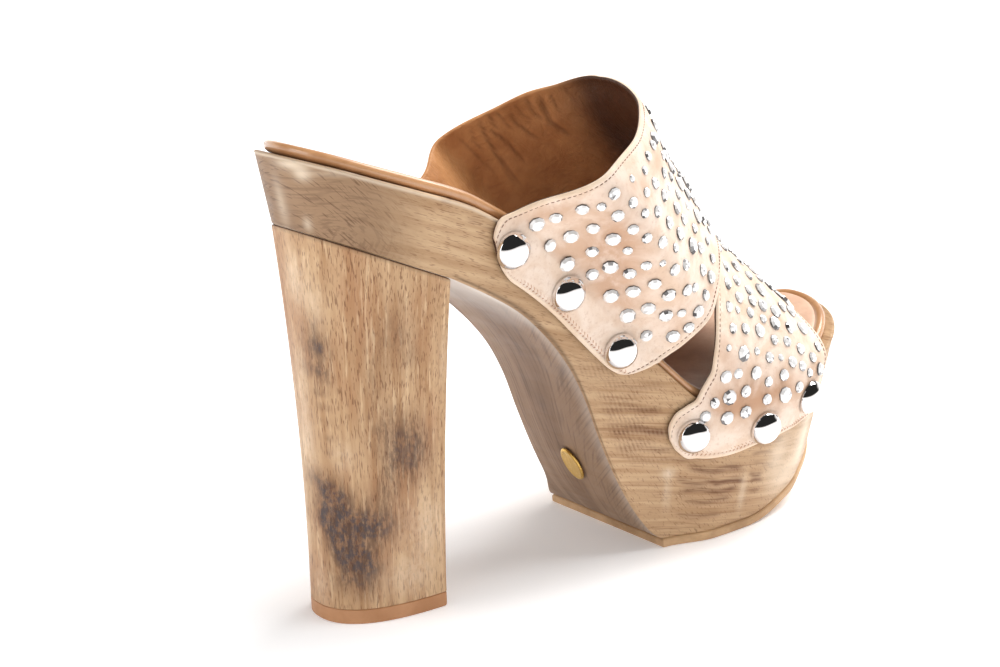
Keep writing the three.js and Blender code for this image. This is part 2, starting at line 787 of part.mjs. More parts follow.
addNode('sole_platform', fromSolid(wood), 0xc89f6f);
addNode('heel_block', buildBlock(), 0xc29a6a);
addNode('heel_tip', buildTip(), 0xb48355);
addNode('outsole', buildOutsole(), 0xa5825a);
addNode('insole', buildInsole(), 0xbe8255);
addNode('upper', fromSolid(upper), 0xebcdb4);
const nailShape = lathe(nailProfile(), nailFacets);
for (const f of frames) {
  addNode(f.name, placed(nailShape, f.seat, f.normal), 0xd8d8d8);
}
addNode('badge_plate', buildPlate(), 0xc8a048);

const box = new THREE.Box3().setFromObject(part);
const middle = box.getCenter(new THREE.Vector3());
for (const mesh of part.children) {
  mesh.geometry.translate(-middle.x, -middle.y, -box.min.z);
}

export default part;
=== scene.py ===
import math

import bmesh
import bpy
import numpy as np
from mathutils import Matrix, Vector


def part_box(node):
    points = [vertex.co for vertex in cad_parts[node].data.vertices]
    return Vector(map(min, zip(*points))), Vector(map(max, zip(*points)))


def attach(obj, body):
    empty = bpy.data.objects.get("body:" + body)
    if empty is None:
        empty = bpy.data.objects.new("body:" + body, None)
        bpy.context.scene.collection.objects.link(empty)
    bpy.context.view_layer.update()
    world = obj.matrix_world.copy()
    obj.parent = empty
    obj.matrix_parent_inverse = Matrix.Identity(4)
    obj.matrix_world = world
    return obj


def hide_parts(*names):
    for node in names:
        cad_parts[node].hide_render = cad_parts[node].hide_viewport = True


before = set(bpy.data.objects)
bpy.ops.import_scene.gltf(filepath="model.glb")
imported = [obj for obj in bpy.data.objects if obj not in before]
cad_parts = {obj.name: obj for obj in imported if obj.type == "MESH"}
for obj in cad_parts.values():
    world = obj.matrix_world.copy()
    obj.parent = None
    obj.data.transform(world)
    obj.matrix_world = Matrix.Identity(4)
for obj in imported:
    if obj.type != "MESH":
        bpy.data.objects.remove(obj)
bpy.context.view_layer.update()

# Tables and functions here work in millimetres with x counted from the back of the
# footbed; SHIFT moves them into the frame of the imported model.
TIP_LOW, TIP_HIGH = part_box("heel_tip")
SHIFT = np.array([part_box("sole_platform")[0].x * 1000, (TIP_LOW.y + TIP_HIGH.y) * 500, 0.0])

# Wood body
SHOE_LENGTH = 236.0
BALL_WIDTH = 87.0
SEAT_HEIGHT = 151.0
HEEL_ROUND = 37.0
TOE_ROUND = 36.0
END_POWER = 2.15
TOE_MIDDLE = 13.0
HEEL_LEAN = 4.3
TOE_LEAN = 9.0
ARCH_FOOT = 131.4
ARCH_HEIGHT = 109.7
BREAST_AT = 44.0
SEAT_SLOPE = 0.431
EDGE_ROUND = 0.9
WOOD_STATIONS = 230
WALL_ROWS = 100
WELD_REACH = 3e-6

# Heel block and top piece
BLOCK_TOP_HALF = 29.2
BLOCK_TIP_HALF = 18.6
BLOCK_TIP_BACK = 9.3
BLOCK_TIP_BREAST = 46.2
BLOCK_BOW = 1.6
BREAST_CORNER = 1.2
BLOCK_POWER_TOP = 2.3
BLOCK_POWER_TIP = 2.7
BLOCK_ROWS = 111
BLOCK_COLUMNS = 44
TIP_THICKNESS = 4.8
TIP_EDGE = 0.5

# Outsole and insole
OUTSOLE = 3.0
OUTSOLE_PROUD = 0.3
OUTSOLE_EDGE = 0.6
OUTSOLE_STATIONS = 150
TOE_SPRING = 17.0
SPRING_START = 168.0
SPRING_POWER = 1.45
INSOLE_SIDE = 1.5
INSOLE_HEEL = 3.0
INSOLE_TOE = 3.0
INSET_FROM = 0.74
INSET_RUN = 0.2
INSOLE_STATIONS = 200

# Upper
BAND_WALL = 1.6
STRAP_BITE = 0.2
LIFT_RUN = 12.0
LIFT_FADE = 0.2
SWELL_FULL = 0.38
EDGE_BEND = 0.8
STRAP_STEP = 0.86
STRAP_WIDTH = 62.0
TRIAL_POINTS = 1601
STITCH_INSET = 2.0
STITCH_PITCH = 1.75
HEM_PITCH = 1.6
HEM_ROWS = ((1.7, 0.85), (2.9, -0.75))
GIRTH_MM = 85.0
SHARE_MM = 60.0

# Nails and plate
NAIL_HEAD = 12.2
NAIL_RISE = 4.2
SHANK = 2.6
SHANK_LENGTH = 9.0
PLATE_LONG = 14.0
PLATE_WIDE = 9.0
PLATE_AT = 110.4
PLATE_SIDE = -4.0

# Clearances
MEET_GAP = 0.3
STRAP_GAP = 0.45
PLATE_GAP = 0.6
NAIL_GAP = 0.45
SEAM_FILL = 0.56
SKIN_TOUCH = 0.05

# Marks: middle of the seat's arcs, and the arch's near edge as x against half width
ARC_X = 9.9
ARC_Z = 124.4
NEAR_EDGE = ((BREAST_AT, 80.0, 110.0, ARCH_FOOT), (29.0, 27.5, 26.0, 26.5))

# at, right, left, foot right, foot left
PLAN = (
    (0, 0.361, 0.361, 0.337, 0.337), (0.15, 0.361, 0.361, 0.338, 0.338),
    (0.235, 0.361, 0.352, 0.337, 0.325), (0.32, 0.352, 0.32, 0.326, 0.262),
    (0.405, 0.347, 0.3, 0.312, 0.203), (0.49, 0.362, 0.335, 0.3, 0.24),
    (0.557, 0.392, 0.42, 0.3, 0.395), (0.64, 0.436, 0.498, 0.352, 0.442),
    (0.725, 0.452, 0.536, 0.34, 0.455), (0.81, 0.408, 0.524, 0.288, 0.438),
    (0.875, 0.322, 0.484, 0.225, 0.392), (0.935, 0.284, 0.43, 0.195, 0.345),
    (1, 0.25, 0.37, 0.18, 0.3),
)
# at, height
FOOTBED = (
    (0, 0.993), (0.042, 0.971), (0.085, 0.946), (0.136, 0.917), (0.212, 0.872), (0.254, 0.836),
    (0.297, 0.793), (0.339, 0.741), (0.381, 0.677), (0.424, 0.607), (0.466, 0.54), (0.5, 0.489),
    (0.525, 0.451), (0.555, 0.405), (0.585, 0.362), (0.619, 0.332), (0.657, 0.319), (0.699, 0.315),
    (0.754, 0.323), (0.814, 0.344), (0.869, 0.367), (0.932, 0.396), (1, 0.425),
)
# run, height
ARCH = (
    (0, 1), (0.16, 0.93), (0.297, 0.86), (0.423, 0.767), (0.53, 0.66), (0.61, 0.542),
    (0.675, 0.415), (0.772, 0.255), (0.875, 0.123), (0.96, 0.048), (1, 0.03),
)
# at, tilt, rise, swell right, swell left, crest, power
LAST = (
    (0.237, 37, 0.851, 0.2, 0.14, 0.115, 1.9), (0.305, 42, 0.834, 0.26, 0.18, 0.125, 1.85),
    (0.364, 44.5, 0.814, 0.27, 0.2, 0.13, 1.85), (0.398, 42.4, 0.775, 0.255, 0.19, 0.128, 1.85),
    (0.432, 39.9, 0.755, 0.235, 0.175, 0.125, 1.85), (0.475, 38, 0.751, 0.19, 0.15, 0.12, 1.85),
    (0.525, 33.4, 0.73, 0.13, 0.11, 0.115, 1.9), (0.572, 28.5, 0.694, 0.083, 0.075, 0.11, 1.95),
    (0.597, 26.5, 0.677, 0.06, 0.055, 0.108, 1.95), (0.623, 25.1, 0.659, 0.043, 0.037, 0.106, 1.95),
    (0.648, 23.9, 0.633, 0.028, 0.025, 0.105, 1.95),
    (0.686, 22.5, 0.572, 0.012, 0.012, 0.105, 1.95),
    (0.725, 21.4, 0.502, 0.005, 0.005, 0.105, 1.93), (0.763, 20.5, 0.417, 0, 0, 0.105, 1.9),
    (0.801, 19.9, 0.326, 0, 0, 0.105, 1.8), (0.847, 19, 0.217, 0, 0, 0.105, 1.7),
    (0.907, 14.5, 0.132, 0, 0, 0.11, 1.7),
)
# girth, back, front, lag
INSTEP_EDGES = (
    (0, 0.364, 0.617, 0), (0.28, 0.356, 0.592, 0), (0.43, 0.343, 0.564, 0), (0.57, 0.331, 0.55, 0),
    (0.71, 0.309, 0.539, 0.004), (0.84, 0.288, 0.533, 0.012), (0.91, 0.273, 0.53, 0.018),
    (0.96, 0.264, 0.525, 0.02), (1, 0.254, 0.52, 0.022), (1.3, 0.249, 0.507, 0.022),
    (1.6, 0.246, 0.493, 0.022), (1.85, 0.245, 0.48, 0.022), (2, 0.248, 0.471, 0.022),
)
# along, depth
INSTEP_HEM = (
    (0, 0.052), (0.05, 0.1), (0.13, 0.116), (0.26, 0.118), (0.42, 0.119), (0.58, 0.119),
    (0.7, 0.118), (0.84, 0.115), (0.93, 0.106), (1, 0.088),
)
# girth, back, front, lag
TOE_EDGES = (
    (0, 0.6, 0.835, 0), (0.3, 0.578, 0.838, 0), (0.6, 0.545, 0.85, 0), (0.74, 0.551, 0.856, 0),
    (0.84, 0.571, 0.859, 0), (0.91, 0.583, 0.861, 0), (1, 0.582, 0.862, 0), (1.25, 0.568, 0.862, 0),
    (1.6, 0.549, 0.86, 0), (1.85, 0.543, 0.853, 0), (2, 0.546, 0.843, 0),
)
# along, depth
TOE_HEM = (
    (0, 0.146), (0.04, 0.157), (0.09, 0.155), (0.16, 0.137), (0.26, 0.119), (0.38, 0.106),
    (0.52, 0.093), (0.66, 0.091), (0.8, 0.099), (0.93, 0.104), (1, 0.085),
)
# strap, number, at, depth, lag
NAILS = (
    ("instep", 1, 0.273, 0.05, 0.022), ("instep", 2, 0.367, 0.047, 0),
    ("instep", 3, 0.457, 0.051, 0), ("toe", 1, 0.581, 0.091, 0), ("toe", 2, 0.701, 0.052, 0),
    ("toe", 3, 0.799, 0.038, 0),
)
# Grid lines of the straps near their borders, in millimetres
STRAP_EDGE_STEPS = (0, 0.04, 0.16, 0.36, 0.6, 0.9, 1.25, 1.6, 1.95, 2.3, 2.6, 2.9, 3.3)


def curve(rows, value, key_scale, scale):
    """A smooth curve through two columns of a table that never overshoots its rows."""
    xs = np.array([r[0] for r in rows], float) * key_scale
    ys = np.array([r[value] for r in rows], float) * scale
    h = np.diff(xs)
    slope = np.diff(ys) / h
    a, b = slope[:-1], slope[1:]
    safe = a * b > 0
    tangent = np.empty_like(ys)
    tangent[0], tangent[-1] = slope[0], slope[-1]
    tangent[1:-1] = np.where(safe, 2 * a * b / np.where(safe, a + b, 1.0), 0.0)

    def at(x):
        c = np.clip(x, xs[0], xs[-1])
        i = np.clip(np.searchsorted(xs, c, side="right") - 1, 0, len(xs) - 2)
        t = (c - xs[i]) / h[i]
        t2, t3 = t * t, t * t * t
        near = (2 * t3 - 3 * t2 + 1) * ys[i] + (t3 - 2 * t2 + t) * h[i] * tangent[i]
        return near + (3 * t2 - 2 * t3) * ys[i + 1] + (t3 - t2) * h[i] * tangent[i + 1]

    return at


plan_right = curve(PLAN, 1, SHOE_LENGTH, -BALL_WIDTH)
plan_left = curve(PLAN, 2, SHOE_LENGTH, BALL_WIDTH)
foot_right = curve(PLAN, 3, SHOE_LENGTH, -BALL_WIDTH)
foot_left = curve(PLAN, 4, SHOE_LENGTH, BALL_WIDTH)
wood_top = curve(FOOTBED, 1, SHOE_LENGTH, SEAT_HEIGHT)
arch_curve = curve(ARCH, 1, ARCH_FOOT - BREAST_AT, ARCH_HEIGHT)
last_tilt = curve(LAST, 1, SHOE_LENGTH, math.pi / 180)
last_rise, swell_right, swell_left, last_crest = (
    curve(LAST, column, SHOE_LENGTH, BALL_WIDTH) for column in (2, 3, 4, 5)
)
last_power = curve(LAST, 6, SHOE_LENGTH, 1.0)
toe_back = curve(TOE_EDGES, 1, 1.0, SHOE_LENGTH)


def mix(a, b, t):
    return a + (b - a) * t


def ease(t):
    c = np.clip(t, 0, 1)
    return c * c * (3 - 2 * c)


def bell(x, middle, wide):
    return np.exp(-(((x - middle) / wide) ** 2))


def seat_seam(x):
    return ARCH_HEIGHT + (BREAST_AT - x) * SEAT_SLOPE


def sole_floor(x):
    run = np.maximum(0, x - SPRING_START) / (SHOE_LENGTH - TOE_LEAN - SPRING_START)
    return TOE_SPRING * run**SPRING_POWER


def wood_bottom(x):
    x = np.asarray(x, float)
    fore = sole_floor(x) + OUTSOLE + MEET_GAP
    arch = np.where(x < ARCH_FOOT, arch_curve(x - BREAST_AT), fore)
    return np.where(x <= BREAST_AT, seat_seam(x), arch)


def end_round(share):
    inside = np.clip(1 - share, 0, 1)
    return (1 - inside**END_POWER) ** (1 / END_POWER)


def rounded_reach(wall, x, back, front):
    """A side wall's reach drawn in to the shoe's middle round both ends."""
    middle = TOE_MIDDLE * ease((x - SHOE_LENGTH / 2) / (SHOE_LENGTH / 2))
    around = end_round((x - back) / HEEL_ROUND) * end_round((front - x) / TOE_ROUND)
    return middle + (wall - middle) * around


def wood_reach(side, x, down, inset):
    """Reach of the wood's wall on one side (-1 right, 1 left), down the wall by a share."""
    top = np.where(side < 0, plan_right(x), plan_left(x))
    foot = np.where(side < 0, foot_right(x), foot_left(x))
    wall = mix(top, foot, down) - side * inset
    front = SHOE_LENGTH - TOE_LEAN * down - inset
    return rounded_reach(wall, x, HEEL_LEAN * down + inset, front)


def last_point(x, girth, hem_depth):
    """The skin under the straps: girth 0 at the crest, 1 at the wood's edge, 2 at the hem."""
    side = np.where(girth < 0, -1.0, 1.0)
    turn = np.abs(girth)
    top = wood_top(x)
    drop = np.maximum(turn - 1, 0) * hem_depth
    wall = wood_reach(side, x, drop / (top - wood_bottom(x)), -STRAP_GAP)
    up = np.cos(np.minimum(turn, 1) * math.pi / 2)
    power = last_power(x)
    half = (1 - up**power) ** (1 / power)
    ramp = np.sin((math.pi / 2) * np.minimum(up / SWELL_FULL, 1)) ** 2
    swell = np.where(side < 0, swell_right(x) * ramp, swell_left(x) * ramp**2)
    crest = last_crest(x)
    y = crest + (wood_reach(side, x, 0.0, -STRAP_GAP) + side * swell - crest) * half
    rise = up * last_rise(x)
    tilt = last_tilt(x)
    over = np.stack([x + rise * np.sin(tilt), y, top + rise * np.cos(tilt)], -1)
    under = np.stack([x, wall, top - drop], -1)
    return np.where((turn > 1)[..., None], under, over)


def last_normal(x, girth, hem_depth, step=0.02):
    along = last_point(x + 0.5, girth, hem_depth) - last_point(x - 0.5, girth, hem_depth)
    more = last_point(x, np.clip(girth + step, -2, 2), hem_depth)
    less = last_point(x, np.clip(girth - step, -2, 2), hem_depth)
    normal = np.cross(along, more - less)
    return normal / np.linalg.norm(normal, axis=-1, keepdims=True)


class Strap:
    """One strap on the last: its own coordinates are girth and share (0 back, 1 front)."""

    def __init__(self, name, edges, hem):
        self.name = name
        self.back, self.front, self.lag = (curve(edges, k, 1.0, SHOE_LENGTH) for k in (1, 2, 3))
        self.hem = curve(hem, 1, 1.0, SEAT_HEIGHT)

    def station(self, girth, share):
        turn = np.abs(girth)
        back = self.back(turn) + np.where(girth > 0, self.lag(turn), 0.0)
        return back + (self.front(turn) - back) * share

    def lift(self, x, girth):
        if self.name != "instep":
            return np.zeros(np.broadcast(x, girth).shape)
        near = (x - toe_back(np.abs(girth)) + LIFT_RUN) / LIFT_RUN
        return (BAND_WALL - STRAP_BITE) * ease(near) * ease((1 - np.abs(girth)) / LIFT_FADE)

    def at(self, girth, share, offset):
        """Point and outward normal at an offset from the strap's inner face."""
        girth, share = np.broadcast_arrays(np.asarray(girth, float), np.asarray(share, float))
        x, depth = self.station(girth, share), self.hem(share)
        normal = last_normal(x, girth, depth)
        reach = np.asarray(offset + self.lift(x, girth))
        return last_point(x, girth, depth) + normal * reach[..., None], normal


def sheet(points, slot):
    """A grid of points as vertices and quads of one material slot."""
    a, b = points.shape[:2]
    index = np.arange(a * b).reshape(a, b)
    quads = np.stack([index[:-1, :-1], index[1:, :-1], index[1:, 1:], index[:-1, 1:]], -1)
    return points.reshape(-1, 3), quads.reshape(-1, 4), np.full((a - 1) * (b - 1), slot)


def gather(sheets):
    bases = np.cumsum([0] + [len(verts) for verts, _, _ in sheets])
    verts, quads, slots = zip(*((v, q + base, s) for (v, q, s), base in zip(sheets, bases)))
    return np.concatenate(verts), np.concatenate(quads).tolist(), np.concatenate(slots)


def link(name, data):
    thing = bpy.data.objects.new(name, data)
    bpy.context.scene.collection.objects.link(thing)
    return thing


def add_mesh(name, verts, faces, materials, slots=None, smooth=True):
    mesh = bpy.data.meshes.new(name)
    mesh.from_pydata(((verts + SHIFT) * 0.001).tolist(), [], faces)
    for material in materials:
        mesh.materials.append(material)
    if slots is not None:
        mesh.polygons.foreach_set("material_index", np.asarray(slots, dtype=np.int32))
    mesh.polygons.foreach_set("use_smooth", np.full(len(mesh.polygons), smooth, dtype=bool))
    return link(name, mesh)


def weld(name, sheets, materials, sharp=35.0):
    """Closed skin from sheets whose borders coincide."""
    verts, quads, slots = gather(sheets)
    piece = add_mesh(name, verts, quads, materials, slots)
    work = bmesh.new()
    work.from_mesh(piece.data)
    bmesh.ops.remove_doubles(work, verts=work.verts, dist=WELD_REACH)
    bmesh.ops.recalc_face_normals(work, faces=work.faces)
    work.to_mesh(piece.data)
    work.free()
    piece.data.validate()
    piece.data.set_sharp_from_angle(angle=math.radians(sharp))
    return piece


def paint(piece, values, domain="POINT"):
    for name, numbers in values.items():
        layer = piece.data.attributes.new(name, "FLOAT", domain)
        layer.data.foreach_set("value", np.asarray(numbers, dtype=np.float32).ravel())


def places(piece):
    """x, y and z of a piece's points in millimetres."""
    points = np.empty(len(piece.data.vertices) * 3)
    piece.data.vertices.foreach_get("co", points)
    return (points.reshape(-1, 3) * 1000 - SHIFT).T


def end_spaced(count):
    return (1 - np.cos(np.pi * np.arange(count + 1) / count)) / 2


def pinch(right, left, at_back=True, at_front=True):
    if at_back:
        left[0] = right[0]
    if at_front:
        left[-1] = right[-1]
    return right, left


def ring(stations, back, front, reach, height, at_back=True):
    x = mix(back, front, stations)
    right, left = (np.stack([x, reach(side, x), height(x)], -1) for side in (-1, 1))
    return pinch(right, left, at_back)


def loft(rings, columns, closed_back=True, closed_front=True, slot=0):
    """Wall, end, top and bottom sheets over rings of (right side, left side)."""
    right, left = (np.stack(side) for side in zip(*rings))
    pairs = [(right[end][:, None], left[end][:, None]) for end in (0, -1)]
    if not closed_back:
        pairs.insert(0, (left[:, :1], right[:, :1]))
    if not closed_front:
        pairs.insert(0, (right[:, -1:], left[:, -1:]))
    across = np.linspace(0, 1, columns + 1)[None, :, None]
    grids = [right, left[:, ::-1]] + [mix(a, b, across) for a, b in pairs]
    return [sheet(grid, slot) for grid in grids]


def wood_sheets():
    stations = end_spaced(WOOD_STATIONS)
    for x in (BREAST_AT, ARCH_FOOT):
        want = (x - HEEL_LEAN) / (SHOE_LENGTH - TOE_LEAN - HEEL_LEAN)
        stations[np.abs(stations - want).argmin()] = want
    levels = []
    for turn in np.linspace(0, math.pi / 2, 6):
        levels.append((0.0, EDGE_ROUND * (1 - math.cos(turn)), EDGE_ROUND * (1 - math.sin(turn))))
    levels += [(down, 0.0, 0.0) for down in np.linspace(0.03, 0.975, WALL_ROWS)]
    levels += [(0.985, 0.0, 0.1), (0.995, 0.0, 0.25), (1.0, 0.0, 0.45)]
    rings = [
        ring(
            stations,
            HEEL_LEAN * down + inset,
            SHOE_LENGTH - TOE_LEAN * down - inset,
            lambda side, x: wood_reach(side, x, down, inset),
            lambda x: mix(wood_top(x), wood_bottom(x), down) - drop,
        )
        for down, drop, inset in levels
    ]
    return loft(rings, 40)


def block_ring(down, inset, height):
    bow = BLOCK_BOW * 4 * down * (1 - down)
    back = mix(HEEL_LEAN + MEET_GAP, BLOCK_TIP_BACK, down) + bow + inset
    front = mix(BREAST_AT, BLOCK_TIP_BREAST, down) - inset
    half = mix(BLOCK_TOP_HALF, BLOCK_TIP_HALF, down) - bow - inset
    power = mix(BLOCK_POWER_TOP, BLOCK_POWER_TIP, down)
    corner_at = front - BREAST_CORNER
    x = back + (corner_at - back) * (1 - np.cos(np.linspace(0, math.pi / 2, BLOCK_COLUMNS + 1)))
    share = np.clip((corner_at - x) / (corner_at - back), 0, 1)
    y = half * (1 - share**power) ** (1 / BLOCK_POWER_TOP)
    corner = np.linspace(0, math.pi / 2, 6)[1:]
    x = np.concatenate([x, corner_at + BREAST_CORNER * np.sin(corner)])
    y = np.concatenate([y, half - BREAST_CORNER + BREAST_CORNER * np.cos(corner)])
    z = height(x) if callable(height) else np.full(len(x), height)
    return pinch(np.stack([x, -y, z], -1), np.stack([x, y, z], -1), True, False)


def block_sheets():
    def seam(x):
        return seat_seam(x) - MEET_GAP * 2

    rings = [
        block_ring(0.0, 0.5, lambda x: seam(x) + SEAM_FILL),
        block_ring(0.0, 0.12, lambda x: seam(x) + SEAM_FILL / 2),
    ]
    for down in np.linspace(0, 1, BLOCK_ROWS):
        rings.append(block_ring(down, 0.0, lambda x: mix(seam(x), TIP_THICKNESS + MEET_GAP, down)))
    rings.append(block_ring(1.0, 0.3, TIP_THICKNESS + 0.02))
    return loft(rings, BLOCK_COLUMNS, closed_front=False)


def tip_sheets():
    rows = [(TIP_EDGE / 2, TIP_THICKNESS), (TIP_EDGE / 8, TIP_THICKNESS - 0.12)]
    rows += [(0.0, TIP_THICKNESS - TIP_EDGE), (0.0, 3.0), (0.0, 1.8), (0.0, TIP_EDGE)]
    rows += [(TIP_EDGE * 0.3, TIP_EDGE * 0.3), (TIP_EDGE, 0.0)]
    return loft([block_ring(1.0, *row) for row in rows], 30, closed_front=False)


def outsole_sheets():
    stations = end_spaced(OUTSOLE_STATIONS)
    rows = [(OUTSOLE + MEET_GAP - 0.02, 0.5), (OUTSOLE, 0.12), (OUTSOLE - 0.15, -0.1)]
    rows += [(OUTSOLE - 0.45, -0.27), (OUTSOLE - 0.8, -OUTSOLE_PROUD), (1.6, -OUTSOLE_PROUD)]
    rows += [(0.8, -OUTSOLE_PROUD), (0.4, -0.2), (0.12, 0.15), (0.0, OUTSOLE_EDGE)]
    rings = [
        ring(
            stations,
            ARCH_FOOT + inset,
            SHOE_LENGTH - TOE_LEAN - inset,
            lambda side, x: wood_reach(side, x, 1.0, inset),
            lambda x: sole_floor(x) + rise,
            at_back=False,
        )
        for rise, inset in rows
    ]
    return loft(rings, 40, closed_back=False)


# Insole's edge: height over the wood and inset from the outline, from its foot over the
# roll to the cover's edge, then the cover.
INSOLE_ROLL_ROWS = (
    (-0.26, 1.6), (0.05, 0.95), (0.45, 0.42), (0.95, 0.14), (1.6, 0), (2.3, 0.08), (2.95, 0.42),
    (3.4, 0.95), (3.66, 1.6), (3.7, 2.2), (3.58, 2.75), (3.36, 3.15), (3.12, 3.4),
)
INSOLE_COVER_ROWS = ((3.12, 3.4), (3.26, 3.6), (3.4, 3.95), (3.48, 4.6), (3.5, 5.6))


def insole_ring(stations, rise, inset):
    back = INSOLE_HEEL + inset
    front = SHOE_LENGTH - INSOLE_TOE - inset

    def reach(side, x):
        wall = plan_right(x) if side < 0 else plan_left(x)
        edge = mix(INSOLE_SIDE, INSOLE_TOE, ease((x / SHOE_LENGTH - INSET_FROM) / INSET_RUN))
        return rounded_reach(wall - side * (edge + inset), x, back, front)

    return ring(stations, back, front, reach, lambda x: wood_top(x) + MEET_GAP + rise)


def insole_sheets():
    stations = end_spaced(INSOLE_STATIONS)
    roll = [insole_ring(stations, *row) for row in INSOLE_ROLL_ROWS]
    cover = [insole_ring(stations, *row) for row in INSOLE_COVER_ROWS]
    roll, cover = loft(roll, 60, slot=0), loft(cover, 60, slot=1)
    return roll[:2] + cover[:2] + [roll[2], cover[3]]


def spread(length_mm, step):
    """Positions from 0 to length_mm, close together along both borders."""
    edge = np.array(STRAP_EDGE_STEPS)
    inner = np.linspace(edge[-1], length_mm - edge[-1], max(4, int(round(length_mm / step))))
    return np.concatenate([edge[:-1], inner, (length_mm - edge[:-1])[::-1]]) / length_mm


def run_length(points, axis):
    step = np.linalg.norm(np.diff(points, axis=axis), axis=-1)
    pad = np.zeros_like(np.take(step, [0], axis=axis))
    return np.concatenate([pad, np.cumsum(step, axis=axis)], axis=axis)


class Skin:
    """A strap's grid: girths by shares, with lengths along both ways in millimetres."""

    def __init__(self, strap, step):
        self.strap = strap
        self.shares = spread(STRAP_WIDTH, step)
        fine = np.linspace(-2, 2, TRIAL_POINTS)
        trial, _ = strap.at(fine, np.full(TRIAL_POINTS, 0.5), BAND_WALL / 2)
        length = run_length(trial, 0)
        self.girths = np.interp(spread(length[-1], step) * length[-1], length, fine)
        self.girth, self.share = np.meshgrid(self.girths, self.shares, indexing="ij")
        self.middle, self.normal = strap.at(self.girth, self.share, BAND_WALL / 2)
        self.over, self.round = (run_length(self.middle, axis) for axis in (1, 0))
        width = self.over[:, -1:]
        self.hem = np.minimum(self.round, self.round[-1:, :] - self.round)
        self.edge = np.minimum(np.minimum(self.over, width - self.over), self.hem)
        centre = np.abs(self.girths).argmin()
        self.u = self.over - width / 2
        self.v = self.round - self.round[centre : centre + 1, :]
        self.border = np.ones(self.girth.shape, bool)
        self.border[1:-1, 1:-1] = False

    def build(self, outer_extra, inner_extra):
        bend = np.clip(self.edge / EDGE_BEND, 0, 1)
        half = BAND_WALL / 2 * np.sqrt(1 - (1 - bend) ** 2)
        fade = ease(self.edge / 1.0)
        outer = self.middle + self.normal * (half + outer_extra * fade)[..., None]
        inner = self.middle - self.normal * (half - inner_extra * fade)[..., None]
        inside = ~self.border
        index = np.arange(inside.size).reshape(inside.shape)
        under = index.copy()
        under[inside] = inside.size + np.arange(inside.sum())
        faces = []
        for grid, order in ((index, 1), (under, -1)):
            quads = np.stack([grid[:-1, :-1], grid[:-1, 1:], grid[1:, 1:], grid[1:, :-1]], -1)
            faces.append(quads.reshape(-1, 4)[:, ::order])
        slots = np.repeat([0, 1], len(faces[0]))
        return np.concatenate([outer.reshape(-1, 3), inner[inside]]), np.concatenate(faces), slots

    def spread_over(self, values):
        """A value per grid point, for the outer face's points and then the inner face's."""
        return np.concatenate([values.ravel(), values[~self.border]])


def placed_frames(normal, along):
    """Right-handed frames with z on the normal and x near a wanted direction."""
    z = normal / np.linalg.norm(normal, axis=-1, keepdims=True)
    x = along - (along * z).sum(-1, keepdims=True) * z
    x = x / np.linalg.norm(x, axis=-1, keepdims=True)
    return np.stack([x, np.cross(z, x), z], -1)


def scatter(shape, centres, frames, sizes):
    """Copies of one small shape, each with its centre, frame and three sizes."""
    verts, faces = shape
    local = verts[None] * np.asarray(sizes)[:, None, :]
    world = np.einsum("nij,nkj->nki", frames, local) + np.asarray(centres)[:, None, :]
    copies = range(len(world))
    return world.reshape(-1, 3), [[i + n * len(verts) for i in f] for n in copies for f in faces]


def turned(profile, segments):
    """Closed body turned about z from (radius, height) rows; end rows have no radius."""
    turns = [2 * math.pi * k / segments for k in range(segments)]
    around = [(r * math.cos(a), r * math.sin(a), z) for r, z in profile[1:-1] for a in turns]
    verts = [(0.0, 0.0, profile[0][1]), *around, (0.0, 0.0, profile[-1][1])]
    top = 1 + (len(profile) - 3) * segments
    faces = []
    for k in range(segments):
        n = (k + 1) % segments
        faces.append([0, 1 + n, 1 + k])
        for low in range(1, top, segments):
            faces.append([low + k, low + n, low + segments + n, low + segments + k])
        faces.append([top + k, top + n, len(verts) - 1])
    return np.array(verts), faces


def tone(red, green, blue):
    """Linear colour from 0-255 display values."""
    shares = (v / 255.0 for v in (red, green, blue))
    return (*(v / 12.92 if v <= 0.04045 else ((v + 0.055) / 1.055) ** 2.4 for v in shares), 1.0)


class Nodes:
    """Short ways to add nodes to one tree; a value may be a number or another node's socket."""

    def __init__(self, tree):
        self.tree = tree

    def put(self, value, socket):
        if isinstance(value, bpy.types.NodeSocket):
            self.tree.links.new(value, socket)
        elif value is not None:
            socket.default_value = value

    def add(self, kind, inputs, **settings):
        node = self.tree.nodes.new("ShaderNode" + kind)
        for key, value in settings.items():
            setattr(node, key, value)
        for key, value in inputs.items():
            self.put(value, node.inputs[key])
        return node.outputs

    def band(self, value, low, high, out_low=0.0, out_high=1.0):
        ends = {"From Min": low, "From Max": high, "To Min": out_low, "To Max": out_high}
        return self.add("MapRange", {"Value": value, **ends}, interpolation_type="SMOOTHSTEP")[0]

    def sum(self, kind, a, b):
        return self.add("Math", {0: a, 1: b}, operation=kind)[0]

    def times(self, a, b):
        return self.sum("MULTIPLY", a, b)

    def plus(self, a, b):
        return self.sum("ADD", a, b)

    def rest(self, a):
        return self.sum("SUBTRACT", 1.0, a)


